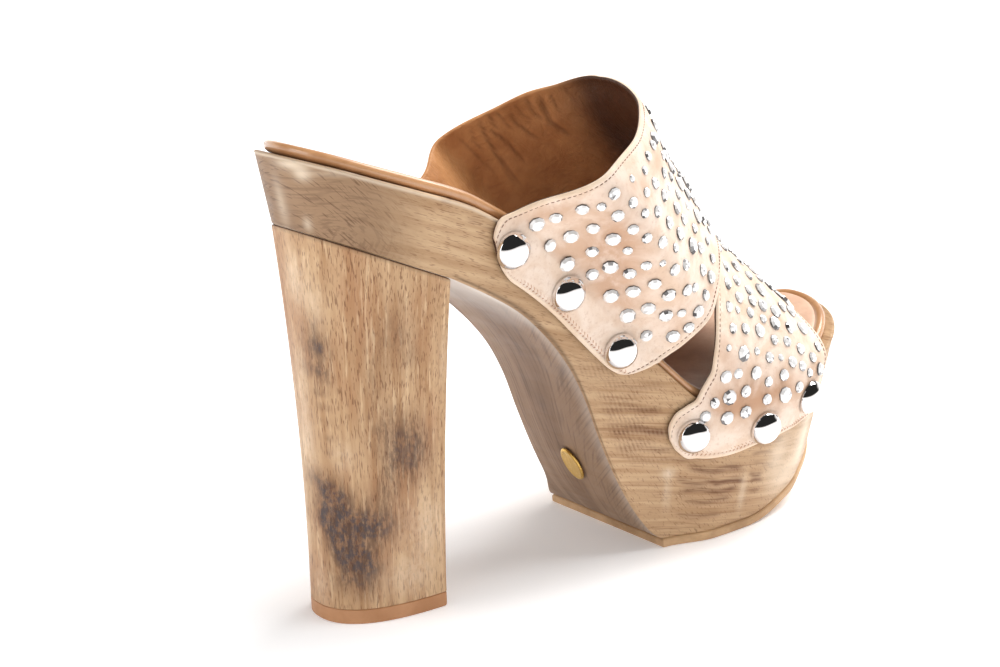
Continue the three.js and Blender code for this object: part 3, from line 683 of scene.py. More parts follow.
class Shade(Nodes):
    """One material, with its colour laid on coat by coat; colours are display values."""

    def __init__(self, name, **sockets):
        self.material = bpy.data.materials.new(name)
        self.material.use_nodes = True
        super().__init__(self.material.node_tree)
        self.shader = self.tree.nodes["Principled BSDF"]
        for key, value in sockets.items():
            self.shader.inputs[key.replace("_", " ")].default_value = value
        self.place = self.add("TexCoord", {})["Object"]
        self.colour = None

    def mapped(self, scale, turn=(0, 0, 0)):
        inputs = {"Rotation": turn, "Vector": self.place}
        turned_by = self.add("VectorRotate", inputs, rotation_type="EULER_XYZ")[0]
        return self.add("Mapping", {"Scale": scale, "Vector": turned_by})[0]

    def noise(self, vector, scale, detail, rough, warp=0.0):
        inputs = {"Vector": vector, "Scale": scale, "Detail": detail}
        return self.add("TexNoise", {**inputs, "Roughness": rough, "Distortion": warp})["Fac"]

    def grain(self, scale, turn, detail, rough, warp=0.0):
        return self.noise(self.mapped(scale, turn), 1.0, detail, rough, warp)

    def dashes(self, turn, length, width, low, depth):
        """Sparse short pores along the turned x axis, 0 to 1; depth is their size along y."""
        field = self.grain((1000 / length, 1000 / depth, 1000 / width), turn, 1.5, 0.5)
        return self.band(field, low, low + 0.09)

    def cells(self, scale):
        return self.add("TexVoronoi", {"Vector": self.place, "Scale": scale})["Distance"]

    def blend(self, factor, a, b):
        a, b = (tone(*c) if isinstance(c, tuple) else c for c in (a, b))
        return self.add("Mix", {0: factor, 6: a, 7: b}, data_type="RGBA")[2]

    def coat(self, factor, colour):
        self.colour = self.blend(factor, self.colour, colour)

    def vector(self, x, y, z):
        return self.add("CombineXYZ", {0: x, 1: y, 2: z})[0]

    def mask(self, name):
        return self.add("Attribute", {}, attribute_type="GEOMETRY", attribute_name=name)["Fac"]

    def bump(self, height, strength, distance, over=None):
        inputs = {"Strength": strength, "Distance": distance, "Height": height}
        return self.add("Bump", {**inputs, "Normal": over})[0]

    def finish(self, rough=None, normal=None):
        ends = {"Base Color": self.colour, "Roughness": rough, "Normal": normal}
        for key, value in ends.items():
            self.put(value, self.shader.inputs[key])
        return self.material


def body_wood():
    s = Shade("beech_body", Specular_IOR_Level=0.25)
    slope, level, rays = ((0, math.radians(turn), 0) for turn in (-21, -11, -50))
    fore, grey, under = s.mask("fore"), s.mask("grey"), s.mask("under")
    aft = s.rest(fore)
    slab_streak = s.grain((22, 60, 330), slope, 4, 0.62, 0.3)
    fore_streak = s.grain((16, 60, 420), level, 4, 0.62, 0.3)
    streak = s.plus(s.times(fore, fore_streak), s.times(aft, slab_streak))
    s.colour = s.blend(s.band(streak, 0.3, 0.7), (203, 170, 133), (170, 133, 96))
    cloud = s.noise(s.place, 28, 3, 0.6)
    s.coat(s.band(cloud, 0.4, 0.7, 0, 0.4), (184, 152, 118))
    hair = s.grain((34, 100, 1000), level, 2, 0.6)
    s.coat(s.times(fore, s.band(hair, 0.52, 0.7, 0, 0.5)), (136, 94, 62))
    # Seat: greyer end grain with arcs and thin rays across them
    seat = s.blend(s.band(cloud, 0.35, 0.65), (154, 123, 94), (132, 102, 75))
    arcs = s.noise(s.vector(s.mask("arc"), 0.0, s.times(s.mask("arc_turn"), 2.0)), 1.0, 3, 0.6)
    seat = s.blend(s.band(arcs, 0.46, 0.64, 0, 0.42), seat, (102, 74, 54))
    seat = s.blend(s.times(s.dashes(rays, 5.0, 0.32, 0.585, 6.0), 0.6), seat, (90, 60, 42))
    s.coat(grey, seat)
    broken = s.grain((40, 60, 1100), level, 3, 0.7)
    stripe = s.times(s.mask("stripe"), s.band(broken, 0.34, 0.6, 0.4, 1.5))
    s.coat(s.sum("MINIMUM", stripe, 0.92), (106, 66, 42))
    # Arch underside: bare, greyer wood with rings that leave the edge as short rays
    ring_place = s.vector(s.mask("ring"), 0.0, s.mask("ring_turn"))
    rings = s.noise(ring_place, 1.5, 2, 0.5)
    wide_rings = s.noise(ring_place, 0.16, 2, 0.5)
    bare = s.blend(s.band(wide_rings, 0.35, 0.65), (152, 123, 98), (133, 104, 80))
    bare = s.blend(s.band(rings, 0.48, 0.68, 0, 0.42), bare, (86, 64, 52))
    combed = s.noise(s.vector(s.mask("comb"), 0.0, 0.0), 1.0, 2, 0.5)
    edge_rays = s.times(s.mask("comb_fade"), s.band(combed, 0.46, 0.66, 0, 0.6))
    bare = s.blend(edge_rays, bare, (84, 64, 50))
    # Smudges, with the plate's painted shadow at its back end
    bare = s.blend(s.times(s.mask("smudge_and_plate_shadow"), 0.4), bare, (84, 66, 58))
    # Painted sheen on the arch's underside
    s.coat(under, s.blend(s.mask("painted_sheen"), bare, (224, 214, 204)))
    slab_pores = s.times(s.times(aft, s.rest(grey)), s.dashes(slope, 3.4, 0.36, 0.575, 5.0))
    fore_pores = s.times(fore, s.dashes(rays, 2.0, 0.36, 0.59, 4.0))
    pores = s.times(s.plus(slab_pores, fore_pores), s.rest(under))
    s.coat(s.times(pores, 0.5), (112, 72, 44))
    # Painted shadow band on the wall just above the arch's edge
    s.coat(s.mask("seam_and_shadow_line"), (84, 58, 40))
    # Painted highlight: lighter where light falls on the slab's top edge, its back and its side
    # near the toe
    s.coat(s.mask("painted_highlight"), (236, 218, 194))
    normal = s.bump(s.times(pores, -1.0), 0.2, 0.0002)
    return s.finish(s.band(streak, 0.3, 0.7, 0.42, 0.55), normal)


def heel_wood():
    s = Shade("beech_block", Specular_IOR_Level=0.25)
    upright = (0, math.radians(92), 0)
    streak = s.grain((14, 120, 300), upright, 4, 0.62, 0.3)
    s.colour = s.blend(s.band(streak, 0.3, 0.7), (204, 170, 132), (172, 132, 94))
    cloud = s.grain((26, 70, 80), upright, 3, 0.6)
    s.coat(s.band(cloud, 0.45, 0.72, 0, 0.55), (168, 118, 82))
    glint = s.grain((60, 300, 900), upright, 2, 0.6)
    s.coat(s.band(glint, 0.54, 0.74, 0, 0.6), (228, 198, 160))
    pores = s.dashes(upright, 3.6, 0.32, 0.565, 0.45)
    s.coat(s.times(pores, 0.62), (106, 64, 40))
    # Scorching: a brown veil, upright speckles inside it and grey where it is strongest
    burn = s.sum("MINIMUM", s.mask("burn"), 1.0)
    speckle = s.grain((210, 520, 900), upright, 3, 0.7)
    mottle = s.grain((420, 520, 520), upright, 3, 0.7)
    s.coat(s.times(burn, 0.6), (124, 80, 54))
    s.coat(s.times(s.times(burn, s.band(speckle, 0.38, 0.6, 0.12, 1.0)), 0.75), (64, 44, 36))
    strongest = s.times(s.band(burn, 0.55, 1.0), s.band(mottle, 0.4, 0.62, 0.1, 0.75))
    s.coat(strongest, (70, 66, 70))
    # Painted highlight, mottled, on the heel's back edge and breast corner
    s.coat(s.times(s.mask("painted_highlight"), s.band(mottle, 0.3, 0.6, 0.35, 0.75)), (228, 204, 176))
    # Dark seam at the joint with the body, with painted shade of its gap
    s.coat(s.mask("seam_and_shadow_line"), (84, 60, 44))
    normal = s.bump(s.times(pores, -1.0), 0.25, 0.0002)
    return s.finish(s.band(streak, 0.3, 0.7, 0.42, 0.55), normal)


def hide_material(name, light, crease_shade, rough=0.45, grain=900, strength=0.15, **more):
    s = Shade(name, **more)
    patch = s.noise(s.place, 60, 4, 0.6)
    s.colour = s.blend(s.band(patch, 0.35, 0.68), light, crease_shade)
    spread_rough = s.band(patch, 0.3, 0.7, rough * 0.9, rough * 1.15)
    return s.finish(spread_rough, s.bump(s.cells(grain), strength, 0.0002))


def strap_material():
    s = Shade("strap_suede", Specular_IOR_Level=0.3, Sheen_Weight=0.15, Sheen_Roughness=0.4)
    patch = s.noise(s.place, 85, 4, 0.6, 0.5)
    s.colour = s.blend(s.band(patch, 0.36, 0.66), (240, 220, 203), (226, 198, 174))
    s.coat(s.times(s.mask("tan"), s.band(patch, 0.3, 0.6, 0.4, 1.0)), (196, 154, 124))
    s.coat(s.band(s.noise(s.place, 700, 3, 0.6), 0.52, 0.72, 0, 0.3), (196, 160, 134))
    s.coat(s.mask("rim"), (232, 208, 178))
    normal = s.bump(s.noise(s.place, 2600, 2, 0.6), 0.35, 0.0002)
    normal = s.bump(s.noise(s.place, 420, 3, 0.5), 0.15, 0.0006, normal)
    return s.finish(s.band(patch, 0.3, 0.7, 0.5, 0.66), normal)


def lining_material():
    s = Shade("strap_lining", Specular_IOR_Level=0.35)
    patch = s.noise(s.place, 70, 4, 0.6)
    s.colour = s.blend(s.band(patch, 0.35, 0.68), (206, 148, 98), (180, 122, 76))
    # Painted shade: the lining darker deeper inside the strap
    s.coat(s.mask("deep"), (54, 28, 20))
    # Painted shade along the middle of the lining's creases
    s.coat(s.mask("painted_crease_shade"), (96, 56, 34))
    lines = s.grain((90, 420, 160), (0.3, 0.5, 0.4), 4, 0.65, 1.6)
    height = s.plus(s.times(s.cells(900), 0.25), s.band(lines, 0.3, 0.7))
    return s.finish(s.band(patch, 0.3, 0.7, 0.4, 0.52), s.bump(height, 0.45, 0.0005))


def glass_material():
    """Cut glass on foil with painted reflections: each facet carries its own painted brightness."""
    s = Shade("cut_glass", Roughness=0.12, Specular_IOR_Level=0.7, Metallic=0.25)
    s.colour = s.blend(s.mask("painted_facet_reflection"), (52, 48, 50), (254, 253, 252))
    return s.finish()


def chrome_material():
    s = Shade("chrome", Metallic=1.0, Roughness=0.035)
    s.colour = tone(238, 236, 236)
    return s.finish()


def brass_material():
    s = Shade("brass", Metallic=1.0)
    brushed = s.grain((400, 3000, 400), (0, 0, 0), 3, 0.6)
    s.colour = s.blend(brushed, (222, 186, 108), (196, 154, 76))
    return s.finish(s.band(brushed, 0.3, 0.7, 0.25, 0.4))


# Marks on the wood. Spots: x, y, z of the middle, half width along the wall, half
# height, strength.
HEEL_BURNS = (
    (8.3, -7, 97, 4, 5, 0.45), (8.6, -5.5, 91, 4.5, 4, 0.6), (9.5, -10, 90, 3.5, 3.5, 0.55),
    (8.4, -5, 83.5, 5, 3, 0.6), (9.6, -9.5, 82, 3, 4, 0.5), (9.2, -7.5, 76, 3.2, 1.4, 0.4),
    (9.6, -8, 71.5, 2.6, 1.2, 0.36), (9.9, -8.5, 66.5, 2.4, 1.2, 0.34),
    (10.2, -9, 61.5, 2, 1.2, 0.3), (10.4, -9, 57, 1.8, 1, 0.28), (22, -22.5, 92, 5, 7, 0.24),
    (27, -24.4, 98, 4, 7, 0.3), (30, -24.6, 88, 4, 7, 0.28), (21, -20, 80, 4, 8, 0.22),
    (23, -20, 64, 4.5, 7, 0.46), (29, -21.2, 61, 4.5, 8, 0.58), (34, -21.6, 60, 3, 8, 0.5),
    (26.5, -20, 52, 4.5, 7, 0.56), (33, -20.8, 50, 3.6, 6.5, 0.56), (38, -21.4, 55, 2.6, 8, 0.46),
    (24, -19, 44, 4, 5, 0.48), (9.4, -2, 47, 5, 4, 0.62), (10.6, -7, 44, 4.5, 5, 0.66),
    (13, -11, 42, 4, 5, 0.66), (10.2, -5, 35.5, 5, 6, 0.8), (12, -9.5, 32, 5, 6.5, 1.05),
    (15, -12.6, 31, 4, 6, 0.9), (19, -15.6, 36, 4, 6, 0.62), (22, -17.2, 30, 4.5, 6, 0.66),
    (26, -18.4, 34, 4, 6, 0.52), (12.5, -9.5, 23, 4.5, 5.5, 0.74), (16.5, -13.4, 21, 4.5, 6, 0.86),
    (20.5, -16, 19, 4, 5.5, 0.62), (13, -10, 14.5, 4.5, 4, 0.5), (17.5, -14, 12, 4.5, 3.5, 0.46),
    (30, 22, 60, 7, 9, 0.5), (20, 17, 38, 6, 9, 0.6), (36, 22, 84, 5, 8, 0.36),
    (46, 6, 52, 9, 8, 0.4), (45, -8, 80, 7, 9, 0.3),
)
# Painted highlights on the heel block, mostly along its back edge and its breast corner.
HEEL_PAINTED_HIGHLIGHTS = (
    (5.4, -1.5, 110, 5.5, 9, 0.75), (8.6, -9, 104, 3.5, 7, 0.45), (8, 1, 78, 3.5, 16, 0.6),
    (8.8, 0.5, 58, 4, 10, 0.6), (13, -12, 56, 4, 5, 0.45), (38, -19.6, 30, 8, 10, 0.6),
    (32, -18.6, 14, 9, 7, 0.6), (42.5, -25.4, 88, 1.6, 14, 0.45), (9.6, -2, 12, 4, 8, 0.45),
)
# Painted highlights on the slab: bright patches along its top edge, at its back and on its side
# near the toe.
SLAB_PAINTED_HIGHLIGHTS = (
    (2, -9, 147.4, 6, 1.4, 0.7), (3.6, -12.5, 144.6, 3, 2, 0.6), (5, -11, 129, 1.6, 2.2, 0.5),
    (4, -1, 138, 2.6, 9, 0.45), (22, -28.2, 145.2, 22, 1, 0.35), (150, -33, 36, 4.5, 1, 0.35),
    (130.5, -29.5, 28, 2.5, 1.6, 0.55), (131, -28.6, 20, 1.4, 7, 0.35),
    (178, -31.5, 26, 6, 9, 0.55), (162, -32.5, 15, 1.6, 12, 0.35), (198, -24.5, 24, 10, 12, 0.8),
    (186, -28, 14, 9, 6, 0.5),
)
# Dark smudges under the arch; the ones at the plate's back end are the plate's painted shadow.
ARCH_SMUDGES_AND_PLATE_SHADOW = (
    (100, 1, 52, 3, 5, 0.7), (97, 5, 58, 3, 6, 0.45), (92, -20, 69.7, 3.5, 3, 0.5),
    (117, -17, 18.5, 3, 5, 0.5), (113, -20, 25, 3, 4, 0.4), (104, -18, 43, 3, 4, 0.45),
    (80, -12, 85, 3, 4, 0.35), (121, -8, 12, 3, 4, 0.3), (96, 16, 60, 4, 7, 0.35),
    (112, 22, 28, 4, 6, 0.4),
)
# Stripes on the wall: ends x, z, half height, strength; the same on both sides.
STRIPES = (
    (92, 72, 108, 68, 0.9, 0.3), (101, 64.5, 128, 60, 1, 0.4), (100, 60.5, 119, 57.6, 0.6, 0.3),
    (102, 56.4, 128, 51.5, 1.2, 0.55), (104, 52.6, 124, 49.8, 0.6, 0.35),
    (104, 48.6, 132, 43.2, 1.3, 0.7), (107, 44.6, 126, 41.5, 0.6, 0.35),
    (108, 41.6, 133, 36.6, 1.1, 0.48), (112, 36.5, 134, 32.6, 0.8, 0.28),
    (131, 33.2, 149, 29.8, 1, 0.34), (136, 28.9, 162, 24, 1.4, 0.62),
    (133, 24.6, 150, 21.4, 1, 0.62), (146, 22.2, 163, 19.2, 1.1, 0.72),
    (134, 21, 161, 16.4, 1.2, 0.66), (136, 16.8, 158, 13.4, 1.1, 0.46),
    (134, 11.8, 154, 8.4, 1.1, 0.46), (164, 34.2, 181, 30, 1, 0.55),
    (163, 29.6, 176, 26.4, 0.8, 0.36), (164, 25.4, 178, 22, 0.8, 0.34),
    (164, 21.4, 171, 19.8, 0.9, 0.6), (165, 18.2, 172, 16.8, 0.9, 0.55),
    (165, 15, 171, 13.8, 0.7, 0.4), (52, 124, 84, 100, 1, 0.22), (36, 141, 62, 131, 1, 0.4),
    (38, 136, 58, 129, 1.2, 0.42), (48, 127.5, 62, 121.5, 0.9, 0.34),
)


def spots(rows, x, y, z):
    """Sum of soft spots, held to a little over 1."""
    total = np.zeros_like(x)
    for cx, cy, cz, wide, high, strength in rows:
        reach = ((x - cx) ** 2 + (y - cy) ** 2) / wide**2 + ((z - cz) / high) ** 2
        total += strength * np.exp(-reach)
    return np.minimum(total, 1.2)


def stripes(x, z):
    total = np.zeros_like(x)
    for x0, z0, x1, z1, high, strength in STRIPES:
        share = (x - x0) / (x1 - x0)
        middle = z0 + (z1 - z0) * share + 0.5 * np.sin(x * 0.35 + z0)
        total += strength * ease(share * 5) * ease((1 - share) * 5) * bell(z, middle, high)
    return np.minimum(total, 1.0)


def along_arch(at):
    """Length along the arch's underside from the breast, per x."""
    x = np.linspace(BREAST_AT, ARCH_FOOT, 400)
    step = np.hypot(np.diff(x), np.diff(wood_bottom(x)))
    return np.interp(at, x, np.concatenate([[0], np.cumsum(step)]))


def paint_body(piece):
    x, y, z = places(piece)
    run, up = along_arch(x), z - wood_bottom(x)
    on_floor = np.abs(up) < SKIN_TOUCH
    wall = np.where(on_floor, 0.0, 1.0)
    under = np.where(on_floor & (x < ARCH_FOOT + 0.2), 1.0, 0.0)
    # Distance from the arch's near edge
    near = y + np.interp(x, *NEAR_EDGE)
    left = along_arch(ARCH_FOOT) + 6.0 - run
    # Painted shadow: a dark band on the wall just above the arch's edge
    shadow_wide = 0.5 + 0.9 * ease((x - 52) / 30) * ease((112 - x) / 30)
    shadow_ends = ease((x - 42.0) / 6) * ease((124 - x) / 20)
    # Painted highlight along the wood's rounded top edge, towards the back
    edge_highlight = bell(wood_top(x) - z, 0.9, 0.55) * ease((104 - x) / 30) * 0.6
    # Painted sheen: the arch's underside lighter and whiter towards its top and its near edge
    painted_sheen = 0.95 * ease((84 - x) / 32) + 0.3 * ease((-y - 19) / 9)
    masks = {
        "under": under,
        "comb": 0.9 * run - 0.8 * near,
        "comb_fade": under * bell(near, 0.0, 11.0),
        "ring": 10 * np.log(10 * np.exp(near / 10) + 1.2 * left),
        "ring_turn": 0.03 * run + 0.02 * y,
        "painted_sheen": under * painted_sheen,
        "smudge_and_plate_shadow": spots(ARCH_SMUDGES_AND_PLATE_SHADOW, x, y, z) * under,
        "fore": ease((x - 84) / 30),
        "grey": ease((40 - x) / 28) * wall,
        "arc": np.hypot((x - ARC_X) * 0.8, z - ARC_Z),
        "arc_turn": np.arctan2(z - ARC_Z, x - ARC_X),
        "stripe": stripes(x, z) * wall,
        "painted_highlight": np.maximum(spots(SLAB_PAINTED_HIGHLIGHTS, x, y, z), edge_highlight),
        "seam_and_shadow_line": bell(up, 1.1, shadow_wide) * shadow_ends * wall * 0.6,
    }
    paint(piece, masks)


def paint_block(piece):
    x, y, z = places(piece)
    # Dark line along the joint with the body: the seam, and painted shade of its gap
    seam_and_shadow_line = bell(z, seat_seam(x) - 0.15, 0.45) * 0.9
    burn, painted_highlight = (spots(rows, x, y, z) for rows in (HEEL_BURNS, HEEL_PAINTED_HIGHLIGHTS))
    paint(piece, {"burn": burn, "painted_highlight": painted_highlight, "seam_and_shadow_line": seam_and_shadow_line})


# Studs on the near side: girth and share in thousandths, diameter in tenths.
INSTEP_STUDS = (
    (-955, 117, 50), (-915, 121, 40), (-865, 113, 41), (-835, 133, 30), (-980, 267, 41),
    (-925, 250, 48), (-880, 237, 41), (-865, 317, 48), (-915, 358, 40), (-855, 396, 31),
    (-985, 388, 52), (-905, 458, 50), (-950, 471, 41), (-880, 517, 42), (-950, 600, 50),
    (-900, 613, 47), (-955, 721, 51), (-900, 725, 46), (-960, 854, 40), (-905, 925, 46),
    (-880, 804, 45), (-850, 613, 42), (-840, 704, 46), (-845, 842, 30), (-855, 938, 39),
    (-805, 908, 43), (-795, 750, 39), (-790, 604, 39), (-840, 504, 35), (-805, 533, 23),
    (-745, 533, 30), (-775, 442, 38), (-805, 371, 34), (-820, 300, 36), (-825, 208, 40),
    (-780, 188, 34), (-795, 100, 38), (-775, 263, 30), (-735, 308, 37), (-705, 417, 40),
    (-725, 204, 30), (-660, 296, 39), (-615, 433, 41), (-685, 525, 40), (-615, 521, 35),
    (-750, 646, 37), (-770, 787, 30), (-750, 896, 37), (-665, 650, 52), (-625, 740, 37),
    (-690, 812, 39), (-675, 900, 43), (-585, 640, 33), (-730, 108, 23), (-670, 130, 28),
    (-670, 210, 36), (-610, 100, 31), (-590, 317, 21), (-545, 429, 32), (-545, 100, 32),
    (-585, 229, 35), (-520, 330, 32), (-530, 540, 27), (-550, 817, 28), (-600, 880, 33),
)
TOE_STUDS = (
    (-885, 85, 43), (-860, 164, 34), (-850, 296, 45), (-890, 388, 34), (-870, 508, 39),
    (-970, 646, 38), (-930, 746, 31), (-970, 858, 44), (-990, 85, 36), (-955, 149, 50),
    (-925, 237, 41), (-970, 404, 37), (-975, 533, 52), (-1200, 85, 38), (-1150, 190, 47),
    (-1045, 283, 44), (-795, 93, 24), (-765, 325, 27), (-785, 421, 37), (-785, 512, 23),
    (-815, 592, 39), (-855, 675, 35), (-845, 800, 35), (-755, 700, 38), (-720, 138, 35),
    (-690, 242, 37), (-680, 367, 45), (-705, 483, 34), (-710, 588, 35), (-800, 892, 36),
    (-655, 108, 36), (-630, 196, 24), (-615, 304, 34), (-620, 421, 30), (-625, 517, 48),
    (-635, 646, 42), (-635, 804, 47), (-570, 221, 38), (-555, 346, 38), (-555, 442, 41),
    (-560, 558, 45), (-515, 771, 47), (-560, 113, 40), (-490, 220, 38), (-505, 329, 34),
    (-460, 471, 49), (-510, 662, 39), (-445, 880, 40), (-465, 120, 38), (-400, 243, 39),
    (-405, 383, 35), (-355, 550, 32),
)
BIG_CRYSTAL = (-0.785, 0.212, 5.6)
# Patches of burnished tan: girth, share, half girth, half share, strength.
INSTEP_TAN = (
    (-0.9, 0.42, 0.08, 0.2, 0.75), (-0.84, 0.28, 0.06, 0.14, 0.55), (-0.95, 0.62, 0.05, 0.12, 0.6),
    (-0.92, 0.08, 0.06, 0.05, 0.6), (-0.99, 0.3, 0.04, 0.06, 0.4), (-0.88, 0.85, 0.06, 0.1, 0.35),
    (-0.76, 0.12, 0.08, 0.08, 0.45), (-0.58, 0.18, 0.08, 0.1, 0.55),
    (-0.66, 0.95, 0.12, 0.06, 0.45), (0.9, 0.4, 0.1, 0.22, 0.6), (0.8, 0.75, 0.1, 0.2, 0.45),
    (0.6, 0.2, 0.12, 0.12, 0.45),
)
TOE_TAN = (
    (-1.02, 0.18, 0.12, 0.16, 0.85), (-0.93, 0.4, 0.08, 0.22, 0.75), (-1.15, 0.5, 0.25, 0.3, 0.55),
    (-0.82, 0.12, 0.04, 0.1, 0.65), (-0.96, 0.8, 0.08, 0.14, 0.4), (-0.6, 0.5, 0.08, 0.25, 0.25),
    (0.98, 0.3, 0.12, 0.22, 0.7), (0.85, 0.7, 0.12, 0.2, 0.5),
)
# Creases of the lining: points of girth, share; half width, depth.
LINING_CREASES = (
    (((0.625, 0.02), (0.645, 0.12), (0.66, 0.24), (0.665, 0.35), (0.665, 0.5)), 0.55, 0.42),
    (((0.62, 0.09), (0.605, 0.17), (0.595, 0.265), (0.58, 0.39)), 0.6, 0.45),
    (((0.525, 0.05), (0.53, 0.13), (0.51, 0.205), (0.47, 0.29)), 0.6, 0.45),
    (((0.385, 0.03), (0.405, 0.11), (0.405, 0.185), (0.365, 0.27), (0.33, 0.325)), 1.1, 0.6),
    (((0.715, 0.05), (0.715, 0.14), (0.71, 0.24), (0.7, 0.365)), 0.5, 0.25),
    (((0.65, 0.235), (0.655, 0.335), (0.655, 0.485)), 0.5, 0.38),
    (((0.275, 0.01), (0.255, 0.07), (0.23, 0.14)), 0.7, 0.35),
    (((0.03, 0.04), (0.065, 0.1), (0.07, 0.155)), 0.6, 0.3),
    (((0.585, 0.01), (0.595, 0.07), (0.595, 0.125)), 0.5, 0.35),
    (((0.44, 0.025), (0.45, 0.11), (0.43, 0.185)), 0.7, 0.4),
    (((0.56, 0.02), (0.565, 0.09), (0.555, 0.16)), 0.45, 0.32),
    (((0.49, 0.03), (0.49, 0.1), (0.475, 0.15)), 0.45, 0.3),
    (((0.34, 0.02), (0.35, 0.1), (0.33, 0.16)), 0.55, 0.32),
    (((0.66, 0.03), (0.685, 0.12), (0.69, 0.2)), 0.45, 0.22),
    (((0.16, 0.02), (0.15, 0.1), (0.16, 0.2)), 0.6, 0.28),
    (((-0.12, 0.03), (-0.08, 0.12), (-0.1, 0.22)), 0.6, 0.28),
    (((-0.62, 0.04), (-0.6, 0.15), (-0.64, 0.3)), 0.6, 0.3),
    (((-0.45, 0.03), (-0.42, 0.14), (-0.44, 0.26)), 0.6, 0.3),
)


def crease_field(skin):
    """Depth of troughs with raised flanks, and painted shade along their middle, on a strap's grid.
    """
    depth, crease_shade = np.zeros_like(skin.girth), np.zeros_like(skin.girth)
    gx, gy = skin.girth * GIRTH_MM, skin.share * SHARE_MM
    for points, wide, deep in LINING_CREASES:
        px, py = (np.array(points) * (GIRTH_MM, SHARE_MM)).T
        best, taper = np.full_like(gx, 1e9), np.zeros_like(gx)
        for i in range(len(px) - 1):
            dx, dy = px[i + 1] - px[i], py[i + 1] - py[i]
            t = np.clip(((gx - px[i]) * dx + (gy - py[i]) * dy) / (dx * dx + dy * dy), 0, 1)
            away = np.hypot(gx - px[i] - t * dx, gy - py[i] - t * dy)
            run = (i + t) / (len(px) - 1)
            closer = away < best
            best = np.where(closer, away, best)
            taper = np.where(closer, ease(run * 4 + 0.35) * ease((1 - run) * 3), taper)
        trough = bell(best, 0.0, wide)
        depth += deep * taper * (trough - 0.45 * bell(best, 2.1 * wide, 1.1 * wide))
        crease_shade = np.maximum(crease_shade, taper * bell(best, 0.0, wide * 0.9) * min(1, deep * 2.2))
    return np.clip(depth * 0.75, -0.4, 0.5), crease_shade


def girth_spots(skin, rows):
    total = np.zeros_like(skin.girth)
    for girth, share, wide, long, strength in rows:
        total += strength * bell(skin.girth, girth, wide) * bell(skin.share, share, long)
    return np.minimum(total, 1.0)


def leather_relief(skin):
    """Stitched groove, its ridge and slight unevenness of leather drawn over the last."""
    u, v = skin.u, skin.v
    wave = np.sin(u * 0.31 + v * 0.12) + np.sin(v * 0.23 - u * 0.17 + 1.3)
    wave += np.sin(u * 0.13 + 0.6) * np.sin(v * 0.41 + 2.1)
    seam = 0.08 * bell(skin.edge, 1.3, 0.6) - 0.2 * bell(skin.edge, STITCH_INSET, 0.36)
    return seam + 0.05 * wave


tip_rubber = hide_material("top_piece", (192, 140, 98), (176, 124, 82), 0.5)
sole_leather = hide_material("sole_leather", (206, 168, 126), (176, 140, 102), 0.55)
gloss = {"Coat_Weight": 0.7, "Coat_Roughness": 0.12}
roll_leather = hide_material(
    "roll_leather", (202, 152, 108), (182, 130, 86), 0.3, 800, 0.05, **gloss
)
cover_leather = hide_material("cover_leather", (234, 196, 168), (216, 174, 146), 0.42, 700)
thread = hide_material("thread", (142, 104, 78), (118, 84, 62), 0.6)
hem_thread = hide_material("hem_thread", (206, 160, 130), (184, 138, 108), 0.6)
chrome = chrome_material()
cut_glass = glass_material()

body = weld("wood_body", wood_sheets(), [body_wood()])
paint_body(body)
block = weld("wood_heel", block_sheets(), [heel_wood()], 30)
paint_block(block)
tip = weld("heel_top_piece", tip_sheets(), [tip_rubber], 50)
outsole = weld("sole_leather", outsole_sheets(), [sole_leather], 50)
insole = weld("insole_cover", insole_sheets(), [roll_leather, cover_leather], 60)

instep = Strap("instep", INSTEP_EDGES, INSTEP_HEM)
toe = Strap("toe", TOE_EDGES, TOE_HEM)
instep_skin, toe_skin = (Skin(strap, STRAP_STEP) for strap in (instep, toe))

upper_parts, masks = [], {"tan": [], "rim": [], "painted_crease_shade": [], "deep": []}
for skin, tan_rows in ((instep_skin, INSTEP_TAN), (toe_skin, TOE_TAN)):
    depth, crease_shade = np.zeros_like(skin.edge), np.zeros_like(skin.edge)
    if skin is instep_skin:
        depth, crease_shade = crease_field(skin)
    upper_parts.append(skin.build(leather_relief(skin), depth))
    # Painted shade on the lining: darker deeper inside the strap, towards the crest
    inner_shade = ease((0.44 - skin.girth) / 0.34) * 0.93 + 0.05 * ease((skin.share - 0.2) / 0.5)
    masks["tan"].append(skin.spread_over(girth_spots(skin, tan_rows)))
    masks["rim"].append(skin.spread_over(ease((1.5 - skin.edge) / 0.6) * 0.45))
    masks["painted_crease_shade"].append(skin.spread_over(crease_shade * 0.55))
    masks["deep"].append(skin.spread_over(np.minimum(inner_shade, 0.95)))
verts, faces, slots = gather(upper_parts)
upper = add_mesh("upper_straps", verts, faces, [strap_material(), lining_material()], slots)
paint(upper, {name: np.concatenate(values) for name, values in masks.items()})

# Studs
STUD_SIDES = 9
STUD_SHAPE = turned([(0.0, 0.0), (1.0, 0.0), (1.0, 0.2), (0.7, 0.46), (0.0, 0.52)], STUD_SIDES)
STUD_HALF = 0.54
STUD_HEIGHT = 0.62
STUD_GAP = 5.6
rng = np.random.default_rng(41)


def fill_studs(strap, fixed, first_girth):
    """Fixed studs plus a loose scatter over the rest of the strap, clear of each other."""
    studs = [(g / 1000, s / 1000, size / 10) for g, s, size in fixed]
    taken = [(strap.at(g, s, BAND_WALL)[0], size) for g, s, size in studs]
    for girth in np.arange(first_girth, 0.97, STUD_GAP / GIRTH_MM * 0.82):
        for share in np.arange(0.09, 0.93, STUD_GAP / SHARE_MM):
            g = girth + rng.uniform(-0.016, 0.016)
            s = share + rng.uniform(-0.022, 0.022)
            size = rng.choice([3.0, 3.4, 3.8, 4.2, 4.8])
            if not 0.075 < s < 0.925:
                continue
            here = strap.at(g, s, BAND_WALL)[0]
            if any(
                np.linalg.norm(here - p) < max(STUD_GAP * 0.8, (size + other) * STUD_HALF + 0.3)
                for p, other in taken
            ):
                continue
            studs.append((g, s, size))
            taken.append((here, size))
    return studs


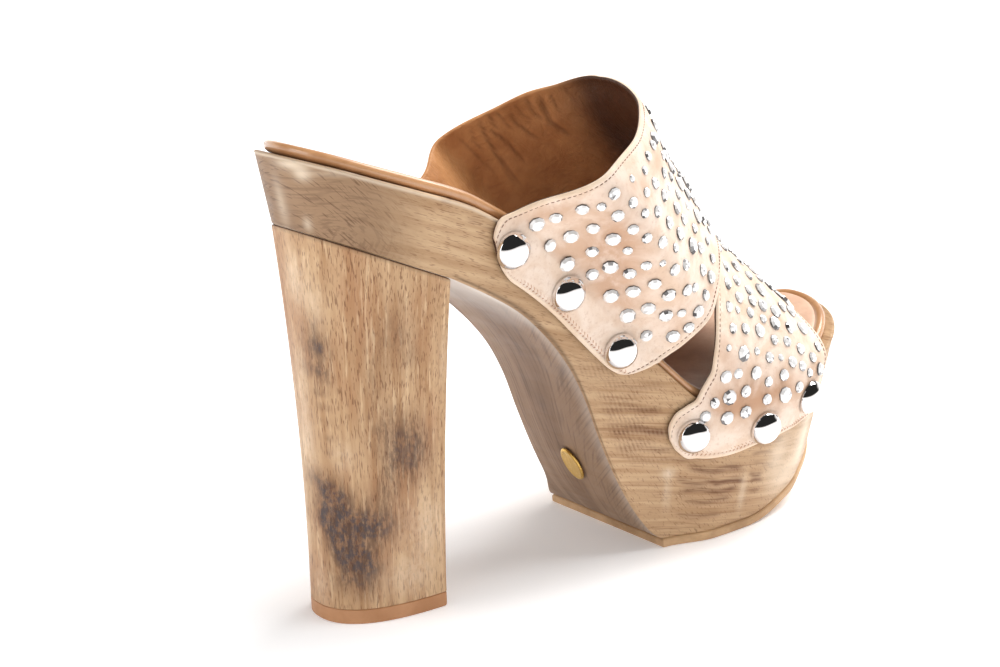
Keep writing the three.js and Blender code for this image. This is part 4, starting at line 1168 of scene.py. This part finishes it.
def paint_facet_reflections(piece, frames, sides, dark_facet_share):
    """Painted reflection on each facet: painted shade at the rim, mixed below, mostly white on top.
    """
    tones = []
    for axes in frames:
        for k in range(sides):
            a = 2 * math.pi * (k + 0.5) / sides
            down = -float((axes @ np.array([math.cos(a), math.sin(a), 0.0]))[2])
            crown = rng.uniform(0.85, 1.0)
            if rng.uniform() < 0.1 + dark_facet_share + 0.45 * max(down, 0.0):
                crown = rng.uniform(0.0, 0.45)
            table = rng.uniform(0.9, 1.0)
            if rng.uniform() < 0.06 + 0.5 * dark_facet_share:
                table = rng.uniform(0.1, 0.6)
            tones += [0.05, rng.uniform(0.0, 0.3), crown, table]
    paint(piece, {"painted_facet_reflection": tones}, "FACE")


stud_places, stud_frames, stud_sizes = [], [], []
for strap, fixed, first in ((instep, INSTEP_STUDS, -0.52), (toe, TOE_STUDS, -0.36)):
    for girth, share, size in fill_studs(strap, fixed, first):
        place, normal = strap.at(girth, share, BAND_WALL - 0.1)
        spin = rng.uniform(0, 2 * math.pi)
        along = np.array([math.cos(spin), math.sin(spin) * 0.6, -0.4])
        lean = normal + rng.normal(0, 0.05, 3)
        stud_places.append(place)
        stud_frames.append(placed_frames(lean[None], along[None])[0])
        stud_sizes.append((size * STUD_HALF, size * STUD_HALF, size * STUD_HEIGHT))
verts, faces = scatter(STUD_SHAPE, stud_places, stud_frames, stud_sizes)
studs = add_mesh("mirror_studs", verts, faces, [cut_glass], smooth=False)
paint_facet_reflections(studs, stud_frames, STUD_SIDES, 0.0)

CRYSTAL_SIDES = 8
CRYSTAL_ROWS = [(0.0, 0.0), (1.0, 0.0), (1.0, 0.14), (0.6, 0.5), (0.0, 0.5)]
girth, share, size = BIG_CRYSTAL
place, normal = toe.at(girth, share, BAND_WALL - 0.1)
axes = placed_frames(normal[None], np.array([[0.9, 0.2, -0.4]]))
shape = turned(CRYSTAL_ROWS, CRYSTAL_SIDES)
verts, faces = scatter(shape, place[None], axes, [(size / 2, size / 2, size / 2)])
crystal = add_mesh("big_crystal", verts, faces, [cut_glass], smooth=False)
paint_facet_reflections(crystal, axes, CRYSTAL_SIDES, 0.4)


def border_line(skin, border, inset):
    """Points and normals on the outer face at an inset from one border."""
    order = slice(None, None, 1 if border in ("back", "right") else -1)
    enough = inset * 0.9
    if border in ("back", "front"):
        to = skin.over if border == "back" else skin.over[:, -1:] - skin.over
        keep = skin.hem.max(1) > enough
        girths = skin.girths[keep]
        shares = [np.interp(inset, row[order], skin.shares[order]) for row in to[keep]]
    else:
        to = skin.round if border == "right" else skin.round[-1:, :] - skin.round
        middle = skin.over[len(skin.girths) // 2]
        keep = (middle >= enough) & (middle[-1] - middle >= enough)
        shares = skin.shares[keep]
        girths = [np.interp(inset, row[order], skin.girths[order]) for row in to.T[keep]]
    return skin.strap.at(np.array(girths), np.array(shares), BAND_WALL - 0.14)


def row_of_stitches(skin, border, inset, pitch, slant):
    """Centres and frames of stitches along one border, turned by a slant on the leather."""
    points, normals = border_line(skin, border, inset)
    length = run_length(points, 0)
    marks = np.arange(pitch / 2, length[-1], pitch)

    def at(where, rows):
        return np.stack([np.interp(where, length, rows[:, k]) for k in range(3)], -1)

    axes = placed_frames(at(marks, normals), at(marks + 0.4, points) - at(marks - 0.4, points))
    c, s = math.cos(slant), math.sin(slant)
    return at(marks, points), axes @ np.array([[c, -s, 0], [s, c, 0], [0, 0, 1]])


def add_stitches(name, rows, size, material):
    stitch_rows = [(0.0, -0.5), (0.6, -0.44), (1.0, -0.25), (1.0, 0.25), (0.6, 0.44), (0.0, 0.5)]
    verts, faces = turned(stitch_rows, 6)
    centres, axes = (np.concatenate(part) for part in zip(*rows))
    verts, faces = scatter((verts[:, ::-1], faces), centres, axes, [size] * len(axes))
    return add_mesh(name, verts, faces, [material])


seam_rows, hem_rows = [], []
for skin in (instep_skin, toe_skin):
    for border in ("back", "front"):
        seam_rows.append(row_of_stitches(skin, border, STITCH_INSET, STITCH_PITCH, 0.0))
    for border, turn in (("right", 1), ("left", -1)):
        for inset, slant in HEM_ROWS:
            hem_rows.append(row_of_stitches(skin, border, inset, HEM_PITCH, slant * turn))
seam_stitches = add_stitches("edge_stitches", seam_rows, (1.2, 0.17, 0.18), thread)
hem_stitches = add_stitches("hem_stitches", hem_rows, (1.25, 0.16, 0.2), hem_thread)

# Nails
nail_rows = [(0.0, -SHANK_LENGTH), (SHANK / 2, -SHANK_LENGTH), (SHANK / 2, 0.0)]
for turn in np.linspace(0, 1, 22)[:-1] * math.pi / 2:
    nail_rows.append((NAIL_HEAD / 2 * math.cos(turn) ** 0.8, NAIL_RISE * math.sin(turn) ** 1.1))
nail_shape = turned([*nail_rows, (0.0, NAIL_RISE)], 48)
nails = []
for side in (-1, 1):
    for strap_name, number, at, depth, lag in NAILS:
        x = np.array((at + (lag if side > 0 else 0.0)) * SHOE_LENGTH)
        drop = depth * SEAT_HEIGHT
        normal = last_normal(x, np.array(side * 1.98), drop / 0.98)
        seat = last_point(x, np.array(side * 2.0), drop) + normal * (BAND_WALL + NAIL_GAP)
        axes = placed_frames(normal[None], np.array([[1.0, 0.0, 0.0]]))
        verts, faces = scatter(nail_shape, seat[None], axes, np.ones((1, 3)))
        node = "nail_%s_%s_%d" % (strap_name, "right" if side < 0 else "left", number)
        nail = add_mesh("chrome_" + node, verts, faces, [chrome])
        nail.data.set_sharp_from_angle(angle=math.radians(50))
        nails.append((nail, node))

# Plate under the arch
plate_rows = [(0.0, 0.0)]
plate_rows += [(0.985, 0.0), (1.0, 0.08), (1.0, 0.3), (0.985, 0.5), (0.95, 0.72), (0.9, 0.84)]
plate_rows += [(0.84, 0.9), (0.8, 0.82), (0.76, 0.8), (0.5, 0.8), (0.0, 0.8)]
shape, faces = turned(plate_rows, 72)
reach = PLATE_LONG / 4
fall = wood_bottom(PLATE_AT + reach) - wood_bottom(PLATE_AT - reach)
along = np.array([2 * reach, 0.0, float(fall)])
along /= np.linalg.norm(along)
out = np.array([along[2], 0.0, -along[0]])
seat = np.array([PLATE_AT, PLATE_SIDE, float(wood_bottom(PLATE_AT))]) + out * PLATE_GAP
shape = shape * (PLATE_LONG / 2, PLATE_WIDE / 2, 1.0)
verts = seat + shape @ np.stack([along, np.cross(out, along), out])
plate = add_mesh("arch_plate", verts, faces, [brass_material()])
plate.data.set_sharp_from_angle(angle=math.radians(40))

for piece, node, slot_name in (
    (body, "sole_platform", "wood"),
    (block, "heel_block", "wood"),
    (tip, "heel_tip", "top_piece"),
    (outsole, "outsole", "outsole"),
    (insole, "insole", "insole"),
    (upper, "upper", "upper"),
    (plate, "badge_plate", "plate"),
    *((nail, node, "nail") for nail, node in nails),
):
    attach(piece, "root")
    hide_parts(node)
for piece, slot_name in (
    (studs, "nail"),
    (crystal, "nail"),
    (seam_stitches, "upper"),
    (hem_stitches, "upper"),
):
    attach(piece, "root")

# Floor, light and camera
FLOOR = 40
floor_mesh = bpy.data.meshes.new("floor")
corners = [(-FLOOR, -FLOOR, 0), (FLOOR, -FLOOR, 0), (FLOOR, FLOOR, 0), (-FLOOR, FLOOR, 0)]
floor_mesh.from_pydata(corners, [], [(0, 1, 2, 3)])
floor = link("floor", floor_mesh)
paper = Shade("floor_paper", Roughness=0.9, Specular_IOR_Level=0.1)
paper.put((1, 1, 1, 1), paper.shader.inputs["Emission Color"])
paper.put(0.2, paper.shader.inputs["Emission Strength"])
paper.colour = tone(250, 250, 251)
floor_mesh.materials.append(paper.finish())

world = bpy.data.worlds.new("studio")
bpy.context.scene.world = world
world.use_nodes = True
sky = Nodes(world.node_tree)
# A dark room in front, a white backdrop behind the shoe that fades out at 20 to 30
# degrees, and a low white band all round.
way = sky.add("TexCoord", {})["Generated"]
toward, height = (
    sky.add("VectorMath", {0: way, 1: aim}, operation="DOT_PRODUCT")["Value"]
    for aim in ((0.6, 0.8, 0.0), (0.0, 0.0, 1.0))
)
backdrop = sky.times(sky.band(toward, 0.1, 0.5, 0.0, 1.1), sky.band(height, 0.5, 0.3))
level = sky.plus(sky.plus(backdrop, sky.band(height, 0.1, 0.05)), 0.025)
background = world.node_tree.nodes["Background"].inputs
sky.put(level, background["Strength"])
sky.put((1.0, 0.97, 0.94, 1), background["Color"])


def add_lamp(name, kind, power, aim, place=(0, 0, 0), **settings):
    lamp = bpy.data.lights.new(name, kind)
    lamp.energy = power
    for key, value in settings.items():
        setattr(lamp, key, value)
    thing = link(name, lamp)
    thing.location = place
    thing.rotation_euler = Vector(aim).to_track_quat("-Z", "Y").to_euler()
    return thing


def add_box_lamp(name, place, target, width, height, power):
    aim = Vector(target) - Vector(place)
    add_lamp(name, "AREA", power, aim, place, shape="RECTANGLE", size=width, size_y=height)


for name, power, angle, aim in (
    ("overhead", 2.3, 50, (-0.43, 0.12, -0.89)),
    ("front_fill", 1.3, 130, (0.35, 0.72, -0.6)),
):
    add_lamp(name, "SUN", power, aim, angle=math.radians(angle)).visible_glossy = False
add_box_lamp("top_box", (0.64, 0.12, 0.92), (0.04, 0.0, 0.06), 0.7, 0.7, 8.0)
add_box_lamp("left_back", (-0.85, 0.25, 0.4), (-0.06, 0.0, 0.08), 0.5, 0.6, 2.5)

AZIMUTH, ELEVATION, ROLL = (math.radians(v) for v in (-36.756, 15.212, -1.423))
DISTANCE = 0.64648
LENS = 71.06
TARGET = Vector((np.array([83.324, 0.0, 79.55]) + SHIFT) * 0.001)
flat = math.cos(ELEVATION)
back = Vector((math.sin(AZIMUTH) * flat, -math.cos(AZIMUTH) * flat, math.sin(ELEVATION)))
right = (-back).cross(Vector((0, 0, 1))).normalized()
up = right.cross(-back)
turned_right = right * math.cos(ROLL) + up * math.sin(ROLL)
turned_up = up * math.cos(ROLL) - right * math.sin(ROLL)
camera_data = bpy.data.cameras.new("photo_camera")
camera_data.sensor_fit = "HORIZONTAL"
camera_data.sensor_width = 36.0
camera_data.lens = LENS
camera_data.clip_start = 0.01
camera = link("photo_camera", camera_data)
rotation = Matrix((turned_right, turned_up, back)).transposed().to_4x4()
camera.matrix_world = Matrix.Translation(TARGET + back * DISTANCE) @ rotation
bpy.context.scene.camera = camera
bpy.context.scene.view_settings.view_transform = "Standard"
